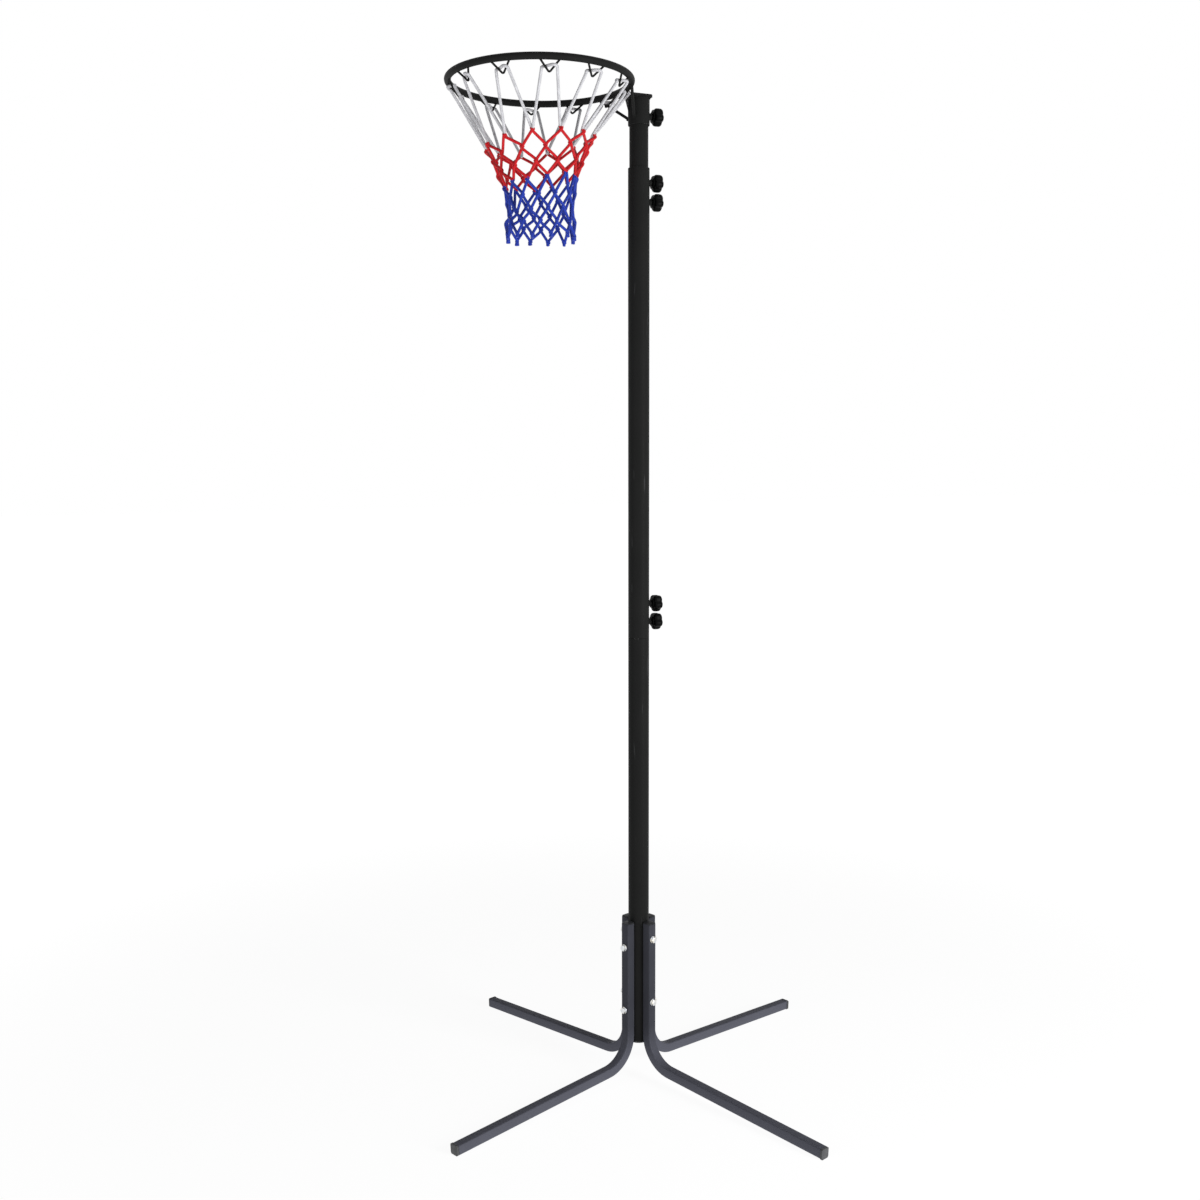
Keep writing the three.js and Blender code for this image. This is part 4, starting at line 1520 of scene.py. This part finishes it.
@dataclass
class RingCarrier:
    """The collar on the mast with its top plate, braces and welds."""

    shop: Workshop
    bars: BarGraph
    beads: BeadGraph
    hoop: Hoop
    collar_bore_clearance: float = 0.00095
    lip: float = 0.0006
    plate_rounding: float = 0.0008
    brace_diameter: float = 0.0065
    brace_sides: int = 24
    brace_start_angle: float = math.radians(140)
    brace_drop: float = 0.043
    brace_ring_angle: float = math.radians(26)
    weld_inset: float = 0.001
    rod_weld_share: float = 0.6
    bead_width: float = 0.0042
    bead_pitch_share: float = 0.55
    bead_flatness: float = 0.75

    # Steps of the weld paths round the collar, round a brace's end and along the plate
    COLLAR_STEPS, BRACE_STEPS, PLATE_STEPS = 64, 16, 12

    def build(self) -> None:
        """Build and fit the carrier."""
        low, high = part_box("ring_collar")
        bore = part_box("upper_tube")[1].x + self.collar_bore_clearance
        collar = tube("carrier_collar", high.x, bore, low.z, high.z, self.lip)
        self.shop.fit(collar, "head", Slot.POLE_PAINT, ["ring_collar"])
        plate = softened("carrier_plate", "ring_top_plate", self.plate_rounding)
        self.shop.fit(plate, "head", Slot.POLE_PAINT, ["ring_top_plate"])
        welds = [arc(high.x, 0.0, 2 * math.pi, self.COLLAR_STEPS, high.z)]
        for side, label in ((1, "left"), (-1, "right")):
            start, end = self.brace_ends(side, high)
            self.brace(label, start, end)
            along = (end - start).normalized()
            welds.append(self.brace_weld(start + along * self.weld_inset, along))
            welds.append(self.brace_weld(end - along * self.hoop.rod_radius, along))
        welds += self.plate_welds()
        piece = self.beads.grow(
            "carrier_welds",
            path_mesh("carrier_welds", welds),
            Pitch=self.bead_width * self.bead_pitch_share,
            Width=self.bead_width,
            Flatness=self.bead_flatness,
            Material=self.shop.materials[Slot.POLE_PAINT],
        )
        self.shop.fit(piece, "head", Slot.POLE_PAINT)

    def brace_ends(self, side: int, collar_high: Vector) -> tuple[Vector, Vector]:
        """The ends of a brace.

        Args:
            side: 1 for the +Y brace and -1 for the other.
            collar_high: The collar's highest corner.

        Returns:
            The end on the collar and the end on the ring.
        """
        height = collar_high.z - self.brace_drop
        start = polar(collar_high.x, side * self.brace_start_angle, height)
        under = -self.hoop.rod_radius / 2
        end = polar(self.hoop.radius, side * self.brace_ring_angle, under)
        return start, self.hoop.centre + end

    def brace(self, label: str, start: Vector, end: Vector) -> None:
        """Build and fit one brace.

        Args:
            label: left or right.
            start: Its end on the collar.
            end: Its end on the ring.
        """
        piece = self.bars.grow(
            f"carrier_brace_{label}",
            path_mesh(label, [[start, end]]),
            Size=self.brace_diameter,
            Bend_Radius=0.0,
            Bend_Steps=1,
            Sides=self.brace_sides,
            Copies=1,
            Material=self.shop.materials[Slot.POLE_PAINT],
        )
        self.shop.fit(piece, "head", Slot.POLE_PAINT, [f"ring_brace_{label}"])

    def brace_weld(self, centre: Vector, along: Vector) -> list[Vector]:
        """The path of the weld round a brace's end.

        Args:
            centre: The middle of the weld.
            along: The brace's direction.

        Returns:
            The path.
        """
        across = along.orthogonal().normalized()
        up = along.cross(across)
        round_brace = arc(self.brace_diameter / 2, 0.0, 2 * math.pi, self.BRACE_STEPS)
        return [centre + across * point.x + up * point.y for point in round_brace]

    def plate_welds(self) -> list[list[Vector]]:
        """The paths of the welds between the plate and both sides of the ring's rod.

        Returns:
            The paths.
        """
        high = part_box("ring_top_plate")[1]
        half = math.asin(high.y / self.hoop.radius)
        middle = Vector((self.hoop.centre.x, 0.0, high.z))
        paths = []
        for side in (-1, 1):
            reach = self.hoop.radius + side * self.hoop.rod_radius * self.rod_weld_share
            paths.append([middle + point for point in arc(reach, -half, half, self.PLATE_STEPS)])
        return paths


@dataclass
class Hoop:
    """The ring and the wire hooks under it."""

    shop: Workshop
    bars: BarGraph
    rod_diameter: float = 0.015
    rod_sides: int = 32
    ring_steps: int = 144
    hook_count: int = 12
    hook_wire: float = 0.0044
    hook_sides: int = 16
    hook_half_width: float = 0.022
    hook_depth: float = 0.021
    hook_lean: float = 0.0155
    hook_tip_radius: float = 0.0032
    hook_tip_steps: int = 8

    @property
    def rod_radius(self) -> float:
        """The radius of the ring's rod."""
        return self.rod_diameter / 2

    @property
    def radius(self) -> float:
        """The ring's radius to the middle of its rod."""
        low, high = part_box("ring")
        return (high.x - low.x) / 2 - self.rod_radius

    @property
    def centre(self) -> Vector:
        """The ring's centre."""
        return middle_of("ring")

    @property
    def hook_heights(self) -> tuple[float, float]:
        """The heights of a hook's start and tip from the ring's centre."""
        return -self.rod_radius / 2, -self.rod_radius - self.hook_depth

    def lean_at(self, height: float) -> float:
        """How far the plane of a hook has come in at a height from the ring's centre."""
        start, tip = self.hook_heights
        return self.hook_lean * (height - start) / (tip - start)

    def build(self) -> None:
        """Build and fit the ring and its hooks."""
        paint = self.shop.materials[Slot.POLE_PAINT]
        circle = arc(self.radius, 0.0, 2 * math.pi, self.ring_steps)[:-1]
        ring = self.bars.grow(
            "goal_ring",
            path_mesh("ring", [circle], closed=True),
            Size=self.rod_diameter,
            Bend_Radius=0.0,
            Bend_Steps=1,
            Sides=self.rod_sides,
            Copies=1,
            Centre=self.centre,
            Material=paint,
        )
        self.shop.fit(ring, "head", Slot.POLE_PAINT, ["ring"])
        start, tip = self.hook_heights
        wire = [
            (self.radius, -self.hook_half_width, start),
            (self.radius - self.hook_lean, 0.0, tip),
            (self.radius, self.hook_half_width, start),
        ]
        hooks = self.bars.grow(
            "net_hooks",
            path_mesh("hook", [wire]),
            Size=self.hook_wire,
            Bend_Radius=self.hook_tip_radius,
            Bend_Steps=self.hook_tip_steps,
            Sides=self.hook_sides,
            Copies=self.hook_count,
            First_Angle=math.pi / self.hook_count,
            Centre=self.centre,
            Material=paint,
        )
        nodes = [f"hook_{number + 1}" for number in range(self.hook_count)]
        self.shop.fit(hooks, "head", Slot.POLE_PAINT, nodes)


def beside(heading: float, reach: float, sideways: float, height: float) -> Vector:
    """A point by its reach along a heading, its distance across it, and its height."""
    outward, across = polar(1.0, heading), polar(1.0, heading + math.pi / 2)
    return outward * reach + across * sideways + Vector((0, 0, height))


@dataclass
class Net:
    """The knotted net: white loops through the hooks, red rows under them, then blue rows.

    `cord` spaces the cords and sizes the knots, and `braid` is the thickness that shows.
    """

    shop: Workshop
    cords: CordGraph
    copies: CopyGraph
    hoop: Hoop
    cord: float = 0.005
    braid: float = 0.0063
    length: float = 0.33
    wander: float = 0.0024
    twist: float = math.radians(11)
    tilt: float = 0.013
    tilt_heading: float = math.radians(-24)
    first_blue_row: int = 3
    tail: float = 0.006
    tail_steps: int = 4
    pinch: float = 0.0042
    layer_share: float = 0.3
    sideways_share: float = 0.36
    crossing_drop: float = 0.0088
    shoulder: float = 0.0145
    spread: float = 0.017
    crossing_half: float = 0.006
    loop_tail: float = 0.012
    path_steps: int = 7
    sides: int = 12
    knot_cord_share: float = 0.8
    knot_depth_share: float = 0.336
    knot_breadth_share: float = 0.2604
    knot_end_angle: float = 0.04
    knot_points: int = 40
    knot_sides: int = 10
    knot_roll: float = 0.5
    knot_nod: float = 0.25

    # For each row of knots, its depth as a share of the length and its radius as one of the ring's
    DROP_SHARES = (0.386, 0.468, 0.558, 0.645, 0.746, 0.833, 0.912, 1.0)
    RADIUS_SHARES = (0.604, 0.522, 0.462, 0.402, 0.368, 0.356, 0.37, 0.376)

    def build(self) -> None:
        """Build and fit the three colours."""
        last = len(self.DROP_SHARES) - 1
        self.colour("net_cord_white", Slot.CORD_WHITE, self.loops(), [], ["net_white"])
        red_rows = range(self.first_blue_row)
        red = self.strands(0, self.first_blue_row)
        self.colour("net_cord_red", Slot.CORD_RED, red, red_rows, ["net_red"])
        blue_rows = range(self.first_blue_row, last + 1)
        blue = self.strands(self.first_blue_row, last) + self.tails(last)
        blue_nodes = ["net_blue_upper", "net_blue_lower"]
        self.colour("net_cord_blue", Slot.CORD_BLUE, blue, blue_rows, blue_nodes)

    def angle_step(self) -> float:
        """The angle between neighbouring knots of a row."""
        return 2 * math.pi / self.hoop.hook_count

    def knot(self, row: int, index: int) -> tuple[Vector, float]:
        """The place of a knot in the net, which hangs a little twisted and askew.

        Every other row is turned by half a step, and each knot strays.

        Args:
            row: Its row from the top.
            index: Its number round the row.

        Returns:
            The place and the angle round the ring's centre.
        """
        number = index % self.hoop.hook_count
        stray = self.wander * math.sin(row * row + number * (row + 1))
        radius = self.hoop.radius * self.RADIUS_SHARES[row] + stray / 2
        share = self.DROP_SHARES[row]
        first = self.DROP_SHARES[0]
        phase = (row % 2) * self.angle_step() / 2 + self.twist * (share - first) / (1 - first)
        angle = phase + number * self.angle_step() + stray / radius
        lift = self.tilt * math.sin(math.pi * share) * math.cos(angle - self.tilt_heading)
        drop = self.length * share - stray - lift
        return self.hoop.centre + polar(radius, angle, -drop), angle

    def through(self, row: int, index: int, hand: int, level: Level) -> Vector:
        """A point of a cord at a knot.

        Args:
            row: The knot's row.
            index: Its number.
            hand: 1 for cords that run to larger angles on their way down, -1 for the others.
            level: Above, at or below the knot's middle.

        Returns:
            The point.
        """
        centre, angle = self.knot(row, index)
        layer = hand * (1 if row % 2 else -1) * self.cord * self.layer_share
        sideways = -level.value * hand * self.cord * self.sideways_share
        return centre + beside(angle, layer, sideways, level.value * self.pinch)

    def strands(self, first: int, last: int) -> list[list[Vector]]:
        """The two families of cords that cross at the knots.

        Args:
            first: The row that they start from.
            last: The row that they end at.

        Returns:
            The path of each cord.
        """
        paths = []
        for hand in (1, -1):
            for start in range(self.hoop.hook_count):
                index = start
                points = [self.through(first, index, hand, Level.AT)]
                points.append(self.through(first, index, hand, Level.BELOW))
                for row in range(first, last):
                    index += row % 2 if hand > 0 else row % 2 - 1
                    points.append(self.through(row + 1, index, hand, Level.ABOVE))
                    if row + 1 < last:
                        points.append(self.through(row + 1, index, hand, Level.BELOW))
                points.append(self.through(last, index, hand, Level.AT))
                paths.append(smooth_path(points, self.path_steps))
        return paths

    def tails(self, row: int) -> list[list[Vector]]:
        """The short ends under the last row's knots.

        Args:
            row: The last row.

        Returns:
            The path of each end.
        """
        paths = []
        under = Vector((0, 0, self.tail - self.pinch / 2))
        for index in range(self.hoop.hook_count):
            for hand in (1, -1):
                start = self.through(row, index, hand, Level.AT)
                end = self.through(row, index, hand, Level.BELOW) - under
                paths.append(smooth_path([start, start.lerp(end, 0.5), end], self.tail_steps))
        return paths

    def loops(self) -> list[list[Vector]]:
        """The white cords, each from a knot up through a hook and down to the next knot.

        Returns:
            The path of each cord.
        """
        rod = self.hoop.rod_radius
        start, tip = self.hoop.hook_heights
        lean = math.atan(self.hoop.hook_lean / (start - tip))
        clear = (self.hoop.hook_wire / 2 + self.cord / 2 + 2 * SEAT_GAP) / math.cos(lean)
        crossing = -rod - self.crossing_drop
        shoulder = crossing - self.cord / 2
        tail = shoulder - self.loop_tail

        # Each point's place along the ring, its distance from the hook's plane, and its height
        route = (
            (-self.spread, clear / 2, tail),
            (-self.shoulder, clear, shoulder),
            (-self.crossing_half, clear, crossing),
            (self.crossing_half, -clear, crossing),
            (self.shoulder, -clear, shoulder),
            (self.spread, -clear / 2, tail),
        )
        paths = []
        for index in range(self.hoop.hook_count):
            middle = (index + 0.5) * self.angle_step()
            hand = 1 if index < self.hoop.hook_count / 2 else -1
            points = []
            for sideways, aside, height in route:
                reach = self.hoop.radius - self.hoop.lean_at(height) + hand * aside
                points.append(self.hoop.centre + beside(middle, reach, sideways, height))
            stops = [
                self.through(0, index, 1, Level.AT),
                self.through(0, index, -1, Level.ABOVE),
                *points,
                self.through(0, index + 1, 1, Level.ABOVE),
                self.through(0, index + 1, -1, Level.AT),
            ]
            paths.append(smooth_path(stops, self.path_steps))
        return paths

    def knot_part(self) -> bpy.types.Object:
        """Build one overhand knot of cord about the origin, facing along X.

        Returns:
            The knot.
        """
        depth = self.cord * self.knot_depth_share
        breadth = self.cord * self.knot_breadth_share
        first, last = self.knot_end_angle, 2 * math.pi - self.knot_end_angle
        path = [
            (
                -math.sin(3 * turn) * depth,
                (math.sin(turn) + 2 * math.sin(2 * turn)) * breadth,
                (math.cos(turn) - 2 * math.cos(2 * turn)) * breadth,
            )
            for turn in np.linspace(first, last, self.knot_points)
        ]
        diameter = self.cord * self.knot_cord_share
        base = path_mesh("knot", [path])
        return self.cords.grow("knot", base, Diameter=diameter, Sides=self.knot_sides)

    def colour(
        self,
        name: str,
        slot: Slot,
        paths: list[list[Vector]],
        rows: Iterable[int],
        nodes: Sequence[str],
    ) -> None:
        """Build and fit the cords and knots of one colour.

        Args:
            name: The piece's name.
            slot: The cord's slot.
            paths: The cords' paths.
            rows: The rows whose knots have this colour.
            nodes: The nodes that the piece stands for.
        """
        material = self.shop.materials[slot]
        base = path_mesh(name, paths)
        piece = self.cords.grow(name, base, Diameter=self.braid, Sides=self.sides, Material=material)
        places, turns = [], []
        for row in rows:
            for index in range(self.hoop.hook_count):
                centre, angle = self.knot(row, index)

                # Waves of odd lengths keep neighbouring knots from turning alike
                roll = self.knot_roll * math.sin(7 * index + row)
                nod = self.knot_nod * math.sin(3 * index)
                places.append(centre)
                turns.append((roll, nod, angle))
        if places:
            knots = self.copies.place("knots", self.knot_part(), places, turns, material)
            piece = joined(name, piece, knots)
        self.shop.fit(piece, "head", slot, nodes)


@dataclass(frozen=True)
class Lamp:
    """A soft lamp that faces the pole."""

    name: str
    heading: float
    height: float
    width: float
    tall: float
    power: float
    distance: float = 3.4
    aim_height: float = 1.1

    def hang(self, scene: bpy.types.Scene) -> None:
        """Hang the lamp.

        Args:
            scene: The scene.
        """
        data = bpy.data.lights.new(self.name, "AREA")
        data.shape = "RECTANGLE"
        data.size = self.width
        data.size_y = self.tall
        data.energy = self.power
        lamp = bpy.data.objects.new(self.name, data)
        lamp.location = polar(self.distance, self.heading, self.height)
        aim = Vector((0.0, 0.0, self.aim_height)) - lamp.location
        lamp.rotation_euler = aim.to_track_quat("-Z", "Y").to_euler()
        scene.collection.objects.link(lamp)


@dataclass
class Studio:
    """A pale floor, a white surround, soft lamps, and the camera at the photograph's angle."""

    image_pixels: float = 1200.0
    focal_pixels: float = 1373.95
    sensor: float = 36.0
    camera_place: Triple = (-1.3396, -2.8585, 1.4964)
    camera_heading: float = math.radians(66.513)
    camera_pitch: float = math.radians(-6.37)
    camera_roll: float = math.radians(-0.163)
    floor_size: float = 60.0
    floor_colour: Colour = (0.92, 0.92, 0.92)
    floor_glow: float = 1.17
    floor_bounce: float = 0.85
    floor_reach: Range = (1.0, 3.0)
    floor_glow_shares: Range = (0.8, 0.87)
    surround_light: float = 0.06

    LAMPS = (
        Lamp("key", heading=math.radians(298), height=1.25, width=1.1, tall=2.3, power=75.0),
        Lamp("fill", heading=math.radians(205), height=1.25, width=1.6, tall=2.3, power=20.0),
    )

    def build(self) -> None:
        """Build the floor, the world, the lamps and the camera."""
        scene = bpy.context.scene
        scene.view_settings.view_transform = "Standard"
        self.world(scene)
        self.floor()
        for lamp in self.LAMPS:
            lamp.hang(scene)
        self.camera(scene)

    @staticmethod
    def seen(graph: Graph) -> Signal:
        """Where a ray sees the background: camera, glossy and transmission rays.

        Args:
            graph: The graph that takes the nodes.

        Returns:
            1 for those rays and 0 for the others.
        """
        rays = graph.node("ShaderNodeLightPath")
        camera = Signal(graph, rays.outputs["Is Camera Ray"])
        glossy = Signal(graph, rays.outputs["Is Glossy Ray"])
        return camera.greater(glossy).greater(rays.outputs["Is Transmission Ray"])

    def world(self, scene: bpy.types.Scene) -> None:
        """Make a white surround that lights the object at a lower level.

        Args:
            scene: The scene.
        """
        scene.world = bpy.data.worlds.new("surround")
        scene.world.use_nodes = True
        graph = Graph(scene.world.node_tree)
        background = graph.tree.nodes["Background"]
        graph.feed(background.inputs["Color"], (1.0, 1.0, 1.0, 1.0))
        strength = self.seen(graph) * (1.0 - self.surround_light) + self.surround_light
        graph.feed(background.inputs["Strength"], strength)

    def floor(self) -> None:
        """Make the floor, which glows a little to the camera and keeps the object's shadow."""
        half = self.floor_size / 2
        mesh = bpy.data.meshes.new("floor")
        places = [(-half, -half, 0.0), (half, -half, 0.0), (half, half, 0.0), (-half, half, 0.0)]
        mesh.from_pydata(places, [], [(0, 1, 2, 3)])
        floor = linked("floor", mesh)
        material = bpy.data.materials.new("floor")
        material.use_nodes = True
        graph = Graph(material.node_tree)
        graph.tree.nodes.clear()
        paint = {"Color": opaque(self.floor_colour)}
        diffuse = graph.node("ShaderNodeBsdfDiffuse", None, paint).outputs[0]
        strength = self.seen(graph) * (self.floor_glow - self.floor_bounce) + self.floor_bounce
        glow = graph.node("ShaderNodeEmission", None, {"Strength": strength}).outputs[0]
        place = graph.node("ShaderNodeTexCoord").outputs["Object"]
        reach = graph.signal("ShaderNodeVectorMath", {"operation": "LENGTH"}, {0: place}, "Value")
        share = reach.between(*self.floor_reach, *self.floor_glow_shares)
        shares = {0: share, 1: diffuse, 2: glow}
        mix = graph.node("ShaderNodeMixShader", None, shares).outputs[0]
        graph.node("ShaderNodeOutputMaterial", None, {"Surface": mix})
        mesh.materials.append(material)

    def camera(self, scene: bpy.types.Scene) -> None:
        """Place the camera.

        Args:
            scene: The scene.
        """
        data = bpy.data.cameras.new("camera")
        data.sensor_width = self.sensor
        data.lens = self.focal_pixels * self.sensor / self.image_pixels
        camera = bpy.data.objects.new("camera", data)
        level, rise = math.cos(self.camera_pitch), math.sin(self.camera_pitch)
        ahead = polar(level, self.camera_heading, rise)
        turn = ahead.to_track_quat("-Z", "Y").to_matrix().to_4x4()
        place = Matrix.Translation(self.camera_place)
        camera.matrix_world = place @ turn @ Matrix.Rotation(self.camera_roll, 4, "Z")
        scene.collection.objects.link(camera)
        scene.camera = camera


def main() -> None:
    """Build the studio and every sub-assembly around the frame."""
    logging.basicConfig(level=logging.INFO, format="%(name)s: %(message)s")
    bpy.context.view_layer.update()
    Studio().build()
    shop = Workshop()
    round_bars = BarGraph(Section.ROUND)
    square_bars = BarGraph(Section.SQUARE)
    copies = CopyGraph()
    threads = ThreadGraph()
    beads = BeadGraph()
    hoop = Hoop(shop, round_bars)
    Pole(shop).build()
    Base(shop, square_bars, copies, threads).build()
    ClampScrews(shop, copies, threads, beads).build()
    RingCarrier(shop, round_bars, beads, hoop).build()
    hoop.build()
    Net(shop, CordGraph(), copies, hoop).build()


if __name__ == "__main__":
    main()
